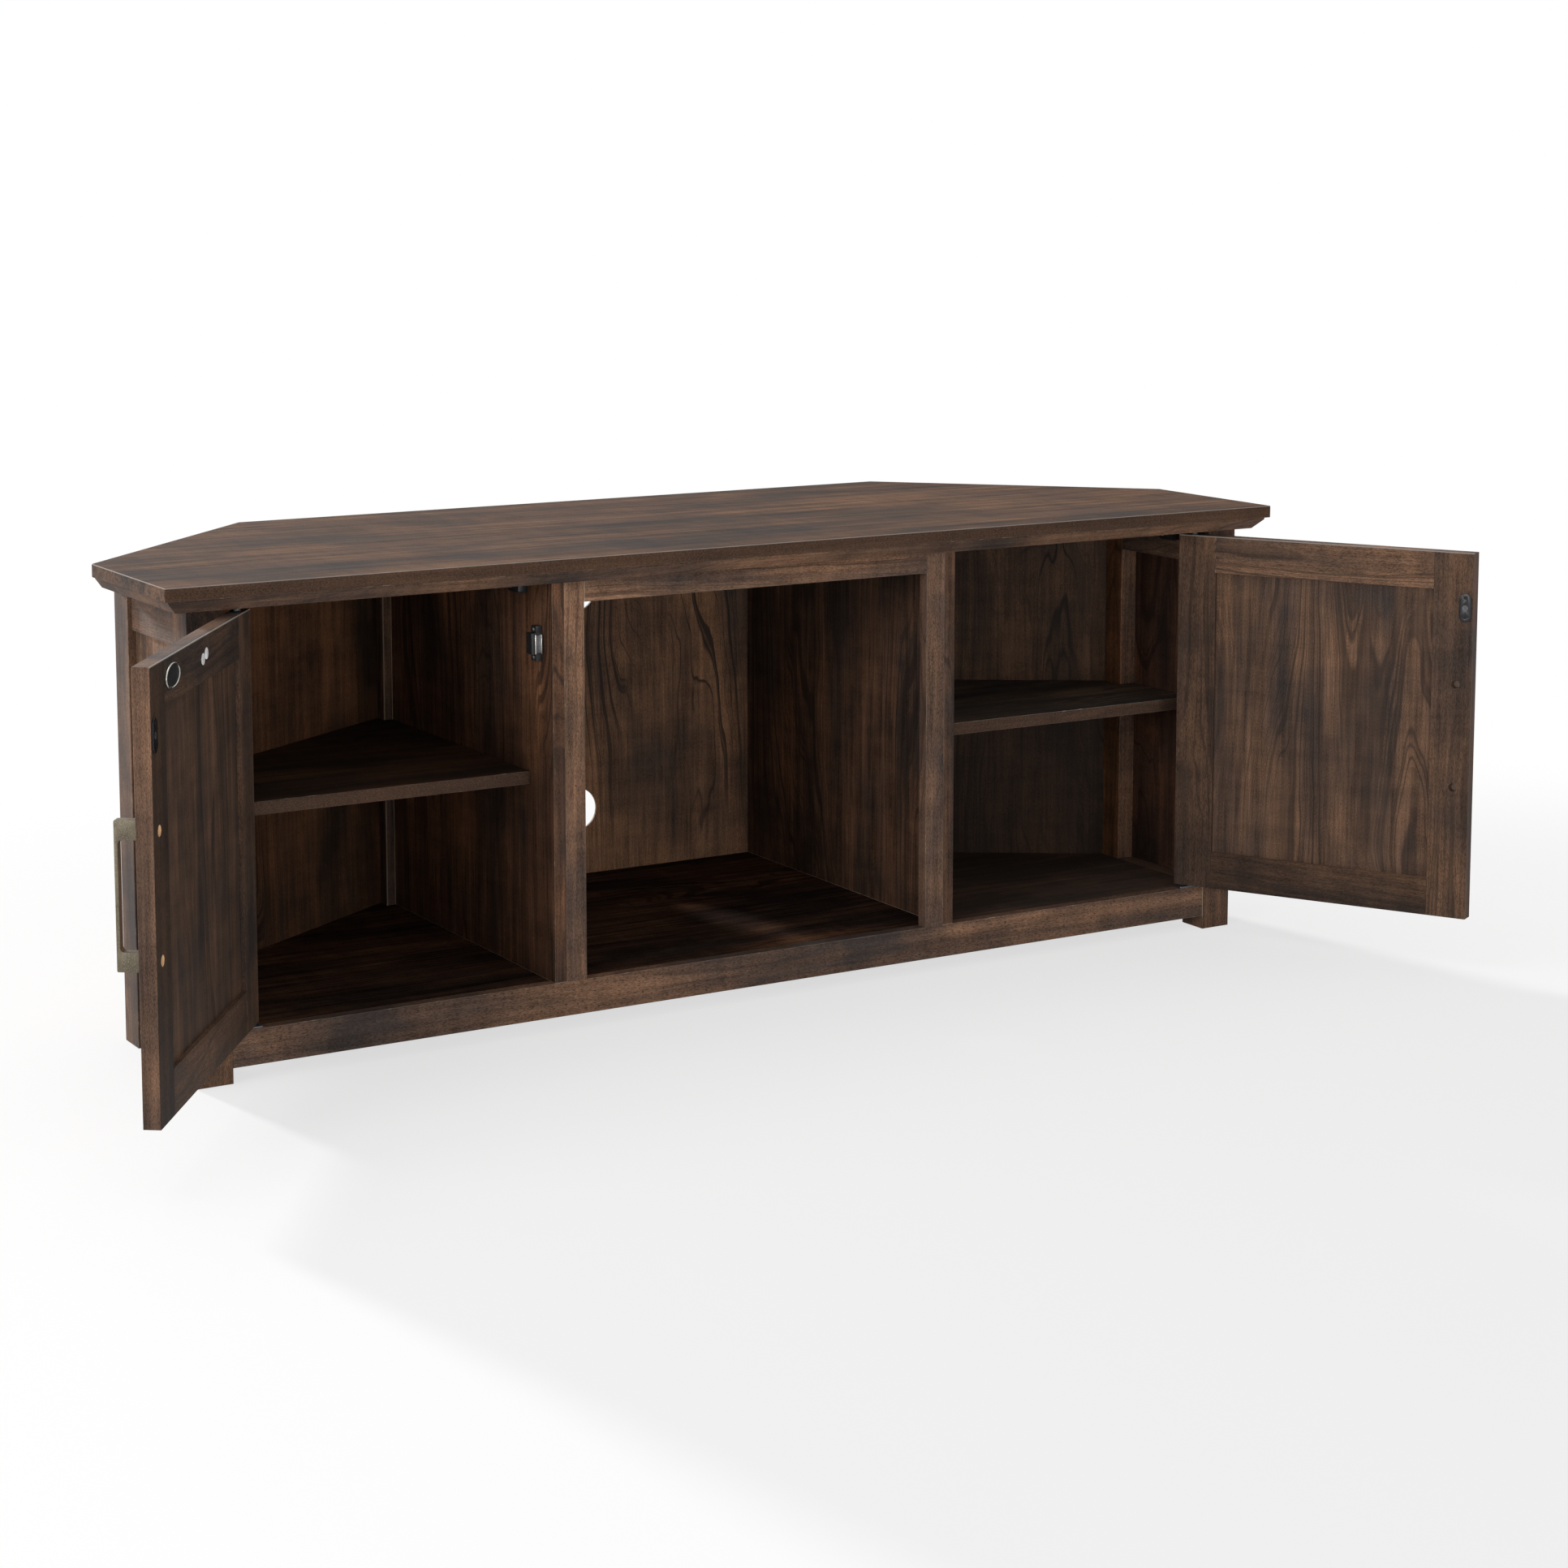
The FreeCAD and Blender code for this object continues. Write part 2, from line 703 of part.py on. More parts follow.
def strike_plate_shape(side):
    """An obround steel plate with two small holes above and below its screw."""
    x = side * amount("strike_x")
    y = amount("door_front + door_thickness")
    z = amount("strike_middle")
    shape = Part.makeBox(15, 1.5, 20, vec(x - 7.5, y, z - 10))
    for step in (-10, 10):
        cap = Part.makeCylinder(7.5, 1.5, vec(x, y, z + step), vec(0, 1, 0))
        shape = shape.fuse(cap)
    shape = shape.removeSplitter()
    for step in (-12, 12):
        hole = Part.makeCylinder(1.2, 3, vec(x, y - 0.5, z + step), vec(0, 1, 0))
        shape = shape.cut(hole)
    return shape


def handle_body(name, side):
    """An arched bar: two square feet and a flat grip with rounded inner corners."""
    body = doc.addObject("PartDesign::Body", name + "_arch")
    sketch = new_sketch(body, "Section", "YZ_Plane")
    face = "door_front"
    low = "handle_middle - handle_length/2"
    high = "handle_middle + handle_length/2"
    corners = [(face, low), (face + " - handle_reach", low), (face + " - handle_reach", high),
               (face, high), (face, high + " - handle_foot"),
               (face + " - handle_reach + handle_grip", high + " - handle_foot"),
               (face + " - handle_reach + handle_grip", low + " + handle_foot"),
               (face, low + " + handle_foot")]
    outline(sketch, corners)
    pad = body.newObject("PartDesign::Pad", "Width")
    pad.Profile = sketch
    pad.Length = amount("handle_width")
    pad.setExpression("Length", bound("handle_width"))
    sketch.Visibility = False
    body.Placement.Base = vec(side * amount("handle_x") - amount("handle_width") / 2, 0, 0)
    doc.recompute()
    inner = amount("door_front - handle_reach + handle_grip")
    outer = amount("door_front - handle_reach")
    wide = amount("handle_width")

    def crossing(one, two, level):
        return abs(one.y - level) < 0.01 and abs(two.y - level) < 0.01 \
            and abs(abs(one.x - two.x) - wide) < 0.01

    for level, radius in ((inner, 4.0), (outer, 1.5)):
        names = []
        for index, edge in enumerate(body.Tip.Shape.Edges):
            ends = [vertex.Point for vertex in edge.Vertexes]
            if len(ends) == 2 and crossing(ends[0], ends[1], level):
                names.append("Edge" + str(index + 1))
        before = body.Tip
        round_off = body.newObject("PartDesign::Fillet", "Rounded")
        round_off.Base = (before, names)
        before.Visibility = False
        round_off.Radius = radius
        doc.recompute()
    return body


def badge_shape():
    """A blank oval plate with a raised rim."""
    middle = amount("door_bottom + door_height - door_rail/2") + 2.5
    y = amount("door_front + door_thickness")
    x = 292

    def oval(half_long, half_high, start, depth):
        curve = Part.Ellipse(vec(0, 0, 0), half_long, half_high)
        face = Part.Face(Part.Wire([curve.toShape()]))
        solid = face.extrude(vec(0, 0, depth))
        turn = FreeCAD.Rotation(vec(1, 0, 0), -90)
        solid.Placement = FreeCAD.Placement(vec(x, start, middle), turn)
        return solid

    plate = oval(25.0, 12.9, y, 1.8)
    dish = oval(23.4, 11.3, y + 1.1, 1.5)
    return plate.cut(dish)


def sticker_shapes():
    """Two round white stick-on pads."""
    y = amount("door_front + door_thickness")
    low = Part.makeCylinder(6, 0.8, vec(178.5, y, 491.4), vec(0, 1, 0))
    high = Part.makeCylinder(6, 0.8, vec(165.2, y, 495.2), vec(0, 1, 0))
    return [low, high]


def build_door(word, side):
    """All the pieces of one door, shut about its pivot axis, with its cutting shapes apart."""
    ready = []
    panel = door_panel_sheet(word + "_door_panel", side)
    groove = door_panel_sheet(word + "_door_groove", side)
    pivots = group(word + "_door_pivots", door_pivot_shapes(side))
    mortise = group(word + "_door_mortise", door_pivot_shapes(side))
    screws = group(word + "_door_screws", door_screw_shapes(side, True))
    plugs = group(word + "_door_plugs", door_screw_shapes(side, False))
    plate_raw = group(word + "_strike_raw", [strike_plate_shape(side)])
    plate = let_in(word + "_strike_plate", plate_raw, [plugs])
    handle = let_in(word + "_door_handle", handle_body(word, side), [plugs])

    hinge = door_board(word + "_hinge_stile", side, "door_hinge_edge",
                       "door_hinge_edge + door_stile", "door_bottom", "door_height")
    ease(hinge, 0.4, upright)
    free = door_board(word + "_free_stile", side, "door_free_edge - door_stile",
                      "door_free_edge", "door_bottom", "door_height")
    ease(free, 0.4, upright)
    low = amount("handle_middle") - 64
    high = amount("handle_middle") + 64
    level = amount("door_front + door_thickness")
    x = str(side * amount("handle_x"))
    sink(free, [(x, str(low - amount("door_bottom"))), (x, str(high - amount("door_bottom")))],
         "5.4", "XZ_Plane", -level, 8.0)
    left = "door_hinge_edge + door_stile"
    right = "door_free_edge - door_stile"
    bottom = door_board(word + "_bottom_rail", side, left, right, "door_bottom", "door_rail")
    top = door_board(word + "_top_rail", side, left, right,
                     "door_bottom + door_height - door_rail", "door_rail")
    ready.append(let_in(word + "_door_hinge_stile", hinge, [groove, mortise]))
    ready.append(let_in(word + "_door_free_stile", free, [groove, plugs]))
    ready.append(let_in(word + "_door_bottom_rail", bottom, [groove]))
    ready.append(let_in(word + "_door_top_rail", top, [groove]))
    ready += [panel, pivots, screws, plate, handle]
    if word == "left":
        ready.append(group("left_door_badge", [badge_shape()]))
        ready.append(group("left_door_pads", sticker_shapes()))
    return ready


# ---- assembly

case_screws = group("case_screws", case_screw_shapes())
hinge_screws = group("hinge_screws", hinge_screw_shapes(True))
hinge_plugs = group("hinge_plugs", hinge_screw_shapes(False))
pins = shelf_pins()
glides = group("foot_glides", foot_glide_shapes())
magnets = group("catch_magnets", catch_magnet_shapes())
plates_raw = group("hinge_plates_raw", hinge_plate_shapes())
hinge_plates = let_in("hinge_plates", plates_raw, [hinge_plugs])
blocks = let_in("corner_blocks", group("corner_blocks_raw", block_shapes()), [case_screws])
nodes = [case_screws, hinge_screws, pins, glides, magnets, hinge_plates, blocks]

top_raw = top_panel()
nodes.append(let_in("top_panel", top_raw, [case_screws]))
nodes.append(front_moulding())
nodes.append(centre_top_rail())
nodes.append(centre_foot())
nodes.append(bottom_panel([case_screws]))
nodes.append(bottom_front_rail([hinge_plugs]))
nodes.append(centre_back_panel([case_screws]))

for word, side in (("left", -1), ("right", 1)):
    sheet_panel = side_panel(word + "_side_panel", side, [pins])
    back = angled_back_panel(word + "_back_panel", side, [case_screws])
    solid_side = board(word + "_side_groove", box("panel_inner", "panel_inner + panel_thickness",
                       "front_leg_rear - panel_tongue", "rear_leg_front + panel_tongue"),
                       "floor_top - panel_tongue", "side_rail_bottom - floor_top + 12", side)
    nodes += [sheet_panel, back]
    nodes.append(side_moulding(word + "_moulding", side))
    nodes.append(leg(word + "_front_leg", side, "case_front", "front_leg_rear", [solid_side]))
    nodes.append(leg(word + "_rear_leg", side, "rear_leg_front", "rear_leg_rear",
                     [solid_side, back]))
    nodes.append(side_rail(word + "_side_top_rail", side, "side_rail_bottom",
                           "side_rail_height", [solid_side, case_screws]))
    nodes.append(side_rail(word + "_side_bottom_rail", side, "rail_bottom",
                           "rail_height", [solid_side]))
    nodes.append(partition(word + "_partition", side, [case_screws, pins]))
    nodes.append(centre_stile(word + "_centre_stile", side))
    nodes.append(top_stretcher(word + "_top_stretcher", side, [case_screws, hinge_plugs]))
    nodes.append(batten(word + "_batten", side))
    nodes.append(shelf(word + "_shelf", side))
    housing = group(word + "_catch_raw", [catch_shape(side)])
    nodes.append(let_in(word + "_catch", housing, [magnets, case_screws]))

doc.recompute()
os.makedirs("parts", exist_ok=True)
doors = [(build_door("left", 1), door_placement(1)), (build_door("right", -1), door_placement(-1))]
for pieces, place in doors:
    for piece in pieces:
        piece.Placement = place.multiply(piece.Placement)
        nodes.append(piece)
doc.recompute()

for item in doc.Objects:
    if "Invalid" in item.State or "Error" in item.State:
        print("state", item.Name, item.Label, item.State)
for node in nodes:
    shape = node.Shape
    if shape.isNull() or not shape.isValid() or not shape.Solids:
        print("bad shape", node.Label)
    shape.exportStep("parts/" + node.Label + ".step")
print("nodes", len(nodes))
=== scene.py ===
import math
import bmesh
import bpy
from mathutils import Matrix, Vector


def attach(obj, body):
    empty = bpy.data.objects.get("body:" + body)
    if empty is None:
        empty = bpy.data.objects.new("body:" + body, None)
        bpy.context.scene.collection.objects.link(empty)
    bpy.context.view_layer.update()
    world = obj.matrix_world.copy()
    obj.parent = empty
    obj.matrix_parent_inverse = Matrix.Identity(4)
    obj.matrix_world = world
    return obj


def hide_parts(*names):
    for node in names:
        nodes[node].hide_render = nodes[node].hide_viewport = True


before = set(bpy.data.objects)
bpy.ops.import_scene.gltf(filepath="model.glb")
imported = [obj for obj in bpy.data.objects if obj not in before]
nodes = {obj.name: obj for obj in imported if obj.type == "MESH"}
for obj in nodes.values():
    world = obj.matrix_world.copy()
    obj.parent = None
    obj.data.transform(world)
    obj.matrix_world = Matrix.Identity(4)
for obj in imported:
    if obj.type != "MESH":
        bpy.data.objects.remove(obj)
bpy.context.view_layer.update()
scene = bpy.context.scene
print("frame loaded:", len(nodes), "nodes")

mm = 0.001  # millimetres of the drawing, in metres
noiseSpan = (0.3, 0.7)  # nearly all of a noise's values lie between these


def linked(name, data):
    made = bpy.data.objects.new(name, data)
    scene.collection.objects.link(made)
    return made


def newMaterial(name):
    material = bpy.data.materials.new(name)
    material.use_nodes = True
    return material, material.node_tree, material.node_tree.nodes["Principled BSDF"]


# Small helpers for node trees: put makes a node and fills its sockets, the rest return a socket.
def put(tree, kind, sockets=None, **settings):
    node = tree.nodes.new(kind)
    for key, value in settings.items():
        setattr(node, key, value)
    for key, value in (sockets or {}).items():
        if isinstance(value, bpy.types.NodeSocket):
            tree.links.new(value, node.inputs[key])
        else:
            node.inputs[key].default_value = value
    return node


def maths(tree, operation, first, second=0.0, third=None, clamp=False):
    sockets = {0: first, 1: second}
    if third is not None:
        sockets[2] = third
    return put(tree, "ShaderNodeMath", sockets, operation=operation, use_clamp=clamp).outputs[0]


def times(tree, first, second, clamp=False):
    return maths(tree, "MULTIPLY", first, second, clamp=clamp)


def spread(tree, value, span, result=(0.0, 1.0), smooth=False):
    sockets = {0: value, 1: span[0], 2: span[1], 3: result[0], 4: result[1]}
    kind = "SMOOTHSTEP" if smooth else "LINEAR"
    return put(tree, "ShaderNodeMapRange", sockets, interpolation_type=kind).outputs[0]


def swing(tree, value, depth, middle=0.0):
    return spread(tree, value, noiseSpan, (middle - depth, middle + depth))


def blendColour(tree, factor, first, second, kind="MIX"):
    sockets = {0: factor, 6: first, 7: second}
    return put(tree, "ShaderNodeMix", sockets, data_type="RGBA", blend_type=kind).outputs[2]


def stretched(tree, vector, marks):
    sockets = {0: vector, 1: marks}
    return put(tree, "ShaderNodeVectorMath", sockets, operation="MULTIPLY").outputs[0]


def noise(tree, vector, marks, detail=2.0, rough=0.5):
    sockets = {"Vector": stretched(tree, vector, marks), "Scale": 1.0, "Detail": detail,
               "Roughness": rough}
    return put(tree, "ShaderNodeTexNoise", sockets).outputs[0]


def noiseAlong(tree, value, detail):
    sockets = {"W": value, "Scale": 1.0, "Detail": detail, "Roughness": 0.5}
    return put(tree, "ShaderNodeTexNoise", sockets, noise_dimensions="1D").outputs[0]


def colourStops(tree, factor, places, shades):
    ramp = put(tree, "ShaderNodeValToRGB", {0: factor})
    points = ramp.color_ramp.elements
    while len(points) < len(places):
        points.new(0.5)
    for point, place, shade in zip(points, places, shades):
        point.position = place
        point.color = shade
    return ramp.outputs[0]


def newGroup(name, inputs, outputs):
    tree = bpy.data.node_groups.new(name, "ShaderNodeTree")
    kinds = {"f": "NodeSocketFloat", "v": "NodeSocketVector", "c": "NodeSocketColor"}
    for label, kind, value in inputs:
        made = tree.interface.new_socket(label, in_out="INPUT", socket_type=kinds[kind])
        if value is not None:
            made.default_value = value
    for label, kind in outputs:
        tree.interface.new_socket(label, in_out="OUTPUT", socket_type=kinds[kind])
    start = tree.nodes.new("NodeGroupInput")
    end = tree.nodes.new("NodeGroupOutput")
    return tree, start.outputs, end.inputs


# The printed walnut figure. Marks count to the metre across, through and along the grain, bends
# are in metres, and a span says where a mark starts and where it is full.
walnut = {
    "marks": {"knots": (4.6, 4.6, 2.2), "slow": (6.0, 6.0, 1.05), "middle": (17.0, 17.0, 3.4),
              "ripple": (45.0, 45.0, 14.0), "lineZone": (7.5, 7.5, 1.8),
              "hairZone": (11.0, 11.0, 3.0), "tone": (15.0, 15.0, 2.2),
              "cloud": (8.0, 8.0, 6.5), "streak": (300.0, 300.0, 9.0),
              "stripe": (72.0, 72.0, 4.0), "chatter": (13.0, 13.0, 62.0),
              "grit": (1100.0, 1100.0, 420.0), "pores": (1000.0, 1000.0, 190.0)},
    "bends": {"slow": 0.36, "middle": 0.055, "ripple": 0.008, "knot": 0.05},
    "growth": {"bands": 30.0, "lines": 58.0, "hairs": 135.0},
    "offsets": {"lines": 3.7, "hairs": 8.3},
    "spans": {"knot": (0.34, 0.0), "heart": (0.075, 0.02), "line": (0.034, 0.006),
              "hair": (0.06, 0.0), "lineZone": (0.42, 0.60), "hairZone": (0.46, 0.64),
              "pores": (0.55, 0.66), "gloss": (0.7, 1.3)},
    "depths": {"streak": 0.52, "stripe": 0.36, "chatter": 0.12, "grit": 0.30},
    "tone": {"own": 0.45, "cloud": 0.40, "bands": 0.15, "steepness": 5.0},
    "relief": {"pores": -0.6, "streak": 0.35, "line": -0.25},
    "gloss": (-0.05, 0.07),
    "knotFree": 0.45,  # share of the cells that have no knot
    "heartShow": 0.9,
    "lean": 0.35,  # how far the figure leans through the board
    "ink": (0.010, 0.008, 0.007, 1.0),
    "inkShare": 0.55,
}


def makeWalnutFigure():
    inputs = [("Vector", "v", None), ("Light", "c", None), ("Middle", "c", None),
              ("Dark", "c", None), ("Line", "f", 0.7), ("Streak", "f", 0.5), ("Knot", "f", 1.0),
              ("Wander", "f", 1.0), ("Pore", "f", 0.5), ("Tone", "f", 0.0),
              ("Contrast", "f", 1.0)]
    outputs = [("Color", "c"), ("Height", "f"), ("Gloss", "f")]
    tree, given, made = newGroup("walnut figure", inputs, outputs)
    marks, bends, spans = walnut["marks"], walnut["bends"], walnut["spans"]
    growth, offsets, depths = walnut["growth"], walnut["offsets"], walnut["depths"]
    place = given["Vector"]
    axes = put(tree, "ShaderNodeSeparateXYZ", {0: place}).outputs

    def centred(value):
        return maths(tree, "SUBTRACT", value, 0.5)

    # A few knots push the growth lines aside.
    cells = put(tree, "ShaderNodeTexVoronoi",
                {"Vector": stretched(tree, place, marks["knots"]), "Scale": 1.0})
    picked = put(tree, "ShaderNodeSeparateColor", {0: cells.outputs["Color"]}).outputs[0]
    picked = maths(tree, "GREATER_THAN", picked, walnut["knotFree"])
    knotNear = spread(tree, cells.outputs["Distance"], spans["knot"], smooth=True)
    knotNear = times(tree, knotNear, picked)
    knotNear = times(tree, knotNear, given["Knot"])

    # The field runs across the board and its level lines are the growth lines.
    slow = noise(tree, place, marks["slow"], 1.0)
    middle = noise(tree, place, marks["middle"])
    ripple = noise(tree, place, marks["ripple"])
    bend = times(tree, centred(slow), bends["slow"])
    bend = maths(tree, "MULTIPLY_ADD", centred(middle), bends["middle"], bend)
    bend = maths(tree, "MULTIPLY_ADD", centred(ripple), bends["ripple"], bend)
    bend = times(tree, bend, given["Wander"])
    bend = maths(tree, "MULTIPLY_ADD", knotNear, bends["knot"], bend)
    field = maths(tree, "MULTIPLY_ADD", axes[1], walnut["lean"], axes[0])
    field = maths(tree, "ADD", field, bend)
    bands = noiseAlong(tree, times(tree, field, growth["bands"]), 2.0)
    lines = noiseAlong(
        tree, maths(tree, "MULTIPLY_ADD", field, growth["lines"], offsets["lines"]), 1.5)
    hairs = noiseAlong(
        tree, maths(tree, "MULTIPLY_ADD", field, growth["hairs"], offsets["hairs"]), 1.0)
    line = spread(tree, maths(tree, "ABSOLUTE", centred(lines)), spans["line"])
    hair = spread(tree, maths(tree, "ABSOLUTE", centred(hairs)), spans["hair"])
    zone = spread(tree, noise(tree, place, marks["lineZone"]), spans["lineZone"], (0.12, 1.0),
                  smooth=True)
    zone = maths(tree, "MAXIMUM", zone, knotNear)
    hairZone = spread(tree, noise(tree, place, marks["hairZone"]), spans["hairZone"], (0.0, 0.5))
    line = maths(tree, "MAXIMUM", times(tree, line, zone),
                 times(tree, hair, hairZone))
    line = times(tree, line, given["Line"])

    # Broad tone, bands along the growth lines, hair-fine streaks and pores.
    share = walnut["tone"]
    tone = noise(tree, place, marks["tone"], 4.0, 0.6)
    cloud = noise(tree, place, marks["cloud"], 3.0, 0.6)
    tone = maths(tree, "MULTIPLY_ADD", cloud, share["cloud"],
                 times(tree, tone, share["own"]))
    tone = maths(tree, "MULTIPLY_ADD", bands, share["bands"], tone)
    tone = maths(tree, "MULTIPLY_ADD", centred(tone),
                 times(tree, given["Contrast"], share["steepness"]),
                 maths(tree, "ADD", given["Tone"], 0.5), clamp=True)
    streak = noise(tree, place, marks["streak"], 3.0, 0.62)
    stripe = noise(tree, place, marks["stripe"], 3.0, 0.55)
    texture = maths(tree, "ADD", swing(tree, streak, depths["streak"]),
                    swing(tree, stripe, depths["stripe"]))
    texture = times(tree, texture, given["Streak"])
    chatter = noise(tree, place, marks["chatter"])
    texture = maths(tree, "ADD", texture, swing(tree, chatter, depths["chatter"]))
    grit = noise(tree, place, marks["grit"], 1.0)
    texture = maths(tree, "ADD", texture, swing(tree, grit, depths["grit"], 1.0))
    pores = noise(tree, place, marks["pores"], 1.0)
    pores = spread(tree, pores, spans["pores"], smooth=True)
    pores = times(tree, pores, given["Pore"])

    lower = blendColour(tree, spread(tree, tone, (0.0, 0.5)), given["Dark"], given["Middle"])
    colour = blendColour(tree, spread(tree, tone, (0.5, 1.0)), lower, given["Light"])
    tint = put(tree, "ShaderNodeCombineColor", {0: texture, 1: texture, 2: texture}).outputs[0]
    colour = blendColour(tree, 1.0, colour, tint, "MULTIPLY")
    heart = spread(tree, cells.outputs["Distance"], spans["heart"], (0.0, walnut["heartShow"]),
                   smooth=True)
    heart = times(tree, heart, times(tree, picked, given["Knot"]),
                  clamp=True)
    shade = maths(tree, "MAXIMUM", line, heart)
    shade = maths(tree, "MAXIMUM", shade, pores, clamp=True)
    darkest = blendColour(tree, walnut["inkShare"], given["Dark"], walnut["ink"])
    colour = blendColour(tree, shade, colour, darkest)
    tree.links.new(colour, made["Color"])
    raised = walnut["relief"]
    relief = maths(tree, "MULTIPLY_ADD", pores, raised["pores"],
                   times(tree, streak, raised["streak"]))
    tree.links.new(maths(tree, "MULTIPLY_ADD", line, raised["line"], relief), made["Height"])
    tree.links.new(spread(tree, maths(tree, "ADD", streak, cloud), spans["gloss"],
                          walnut["gloss"]), made["Gloss"])
    return tree


# Edge wear and a painted highlight on the eased corners of a board: the mask lightens corners as if
# they caught the light.
# Corners are found from the board's own normal: on a corner the normal's three parts add up to more
# than one.
arris = {"corner": (1.22, 1.36), "level": (0.2, 0.5), "breaks": (60.0, 60.0, 60.0),
         "chips": (0.60, 0.68), "rubbedAndPaintedHighlight": (0.35, 0.65), "leastRubAndPaintedHighlight": 0.35}


def makeArrisWearAndPaintedHighlight():
    inputs = [("Normal", "v", None), ("Vector", "v", None), ("Level Only", "f", 0.0)]
    tree, given, made = newGroup("arris wear", inputs, [("Mask", "f"), ("Chips", "f")])
    size = put(tree, "ShaderNodeVectorMath", {0: given["Normal"]}, operation="ABSOLUTE").outputs[0]
    axes = put(tree, "ShaderNodeSeparateXYZ", {0: size}).outputs
    total = maths(tree, "ADD", maths(tree, "ADD", axes[0], axes[1]), axes[2])
    mask = spread(tree, total, arris["corner"])
    # Level Only keeps the mask to corners that tilt up or down, where the painted highlight goes.
    level = spread(tree, axes[2], arris["level"])
    keep = maths(tree, "MAXIMUM", level, maths(tree, "SUBTRACT", 1.0, given["Level Only"]))
    mask = times(tree, mask, keep)
    broken = noise(tree, given["Vector"], arris["breaks"], 3.0, 0.65)
    chips = spread(tree, broken, arris["chips"])
    wornAndPaintedHighlight = spread(tree, broken, arris["rubbedAndPaintedHighlight"], (arris["leastRubAndPaintedHighlight"], 1.0))
    tree.links.new(times(tree, mask, wornAndPaintedHighlight), made["Mask"])
    tree.links.new(times(tree, mask, chips), made["Chips"])
    return tree


# A band at one coordinate, such as a glue line or the pale core at a cut edge. Its border is
# soft by a share of the half width, up to a limit in metres.
seamBand = {"softShare": 0.45, "softLimit": 0.0004, "breaks": (14.0, 14.0, 14.0),
            "broken": (0.5, 0.56)}


def makeSeamLine():
    inputs = [("Coordinate", "f", 0.0), ("Place", "f", 0.0), ("Half Width", "f", 0.0005),
              ("Vector", "v", None), ("Broken", "f", 0.0)]
    tree, given, made = newGroup("seam line", inputs, [("Mask", "f")])
    gap = maths(tree, "ABSOLUTE", maths(tree, "SUBTRACT", given["Coordinate"], given["Place"]))
    edge = times(tree, given["Half Width"], seamBand["softShare"])
    edge = maths(tree, "MINIMUM", edge, seamBand["softLimit"])
    inner = maths(tree, "SUBTRACT", given["Half Width"], edge)
    ratio = spread(tree, gap, (given["Half Width"], inner))
    broken = noise(tree, given["Vector"], seamBand["breaks"], 3.0, 0.7)
    broken = spread(tree, broken, seamBand["broken"])
    keep = maths(tree, "MAXIMUM", broken, maths(tree, "SUBTRACT", 1.0, given["Broken"]))
    tree.links.new(times(tree, ratio, keep), made["Mask"])
    return tree


# Speckle and tarnish for metals, and the fine mottle of moulded plastic.
speckleMarks = {"fine": (900.0, 900.0, 900.0), "cloud": (70.0, 70.0, 70.0)}


def makeSpeckle():
    inputs = [("Vector", "v", None), ("Grain", "f", 1.0)]
    tree, given, made = newGroup("speckle", inputs, [("Fine", "f"), ("Cloud", "f")])
    place = put(tree, "ShaderNodeVectorMath", {0: given["Vector"], 3: given["Grain"]},
                operation="SCALE").outputs[0]
    tree.links.new(noise(tree, place, speckleMarks["fine"], 4.0, 0.7), made["Fine"])
    tree.links.new(noise(tree, place, speckleMarks["cloud"], 4.0, 0.6), made["Cloud"])
    return tree


walnutFigure = makeWalnutFigure()
arrisWearAndPaintedHighlight = makeArrisWearAndPaintedHighlight()
seamLine = makeSeamLine()
speckle = makeSpeckle()
print("shader groups ready")

# Where each door's own drawing stands: its pivot, and how far the door is swung at rest.
doorPlaces = {
    "left": {"pivot": (-643.5 * mm, -217.5 * mm, 0.0), "turn": -125.7},
    "right": {"pivot": (643.5 * mm, -217.5 * mm, 0.0), "turn": 119.2},
}
foilColours = {
    "light": (0.188, 0.103, 0.061, 1.0),
    "middle": (0.105, 0.062, 0.042, 1.0),
    "dark": (0.044, 0.033, 0.029, 1.0),
    # Painted highlight: a pale line along the top's front and left edges and along the doors' top
    # edges.
    "arris": (0.34, 0.30, 0.27, 1.0),
    "bare": (0.92, 0.64, 0.37, 1.0),
    # Painted light: a lightened foil colour for the walls of the right door's screw recesses, to
    # cancel their shade.
    "capWallPaintedLight": (0.135, 0.086, 0.061, 1.0),
    "core": (0.52, 0.42, 0.29, 1.0),
    # Dark of a joint's gap; also used as painted shadow on the lower back of the right bay.
    "gap": (0.010, 0.007, 0.006, 1.0),
    # A pale colour for rubbed corners that also paints their highlight, and for painted light on
    # the right bay's floor.
    "paleWearAndPaintedLight": (0.26, 0.21, 0.175, 1.0),
}
foilLooks = {
    "top": {"line": 0.35, "streak": 1.0, "knot": 0.3, "wander": 0.7, "pore": 0.25, "tone": 0.0,
            "contrast": 0.85, "rough": 0.78, "gloss": 0.06},
    "frame": {"line": 0.60, "streak": 0.55, "knot": 0.25, "wander": 0.9, "pore": 0.50,
              "tone": 0.05},
    "panel": {"line": 0.68, "streak": 0.62, "knot": 0.9, "wander": 1.0, "pore": 0.25,
              "tone": -0.02},
    "case": {"line": 0.75, "streak": 0.85, "knot": 0.8, "wander": 0.9, "pore": 0.20,
             "tone": -0.10},
    "back": {"line": 0.95, "streak": 0.60, "knot": 0.9, "wander": 1.15, "pore": 0.30,
             "tone": 0.05},
    "rail": {"line": 0.35, "streak": 0.45, "knot": 0.0, "wander": 0.8, "pore": 0.80,
             "tone": -0.06},
}
plainLook = {"contrast": 1.0, "rough": 0.66, "gloss": 0.12}  # unless the look says otherwise
foilSkin = {"rubAndPaintedHighlight": 0.55, "chip": 0.6, "paintedEdgeTint": (1.0, 1.0, 1.02), "seamShow": 0.8,
            "bump": 0.28, "bumpHeight": 0.0004}
cutEdge = {"fleck": (420.0, 420.0, 1300.0), "stops": (0.36, 0.5, 0.64), "lightGain": 1.15,
           "show": 0.7}
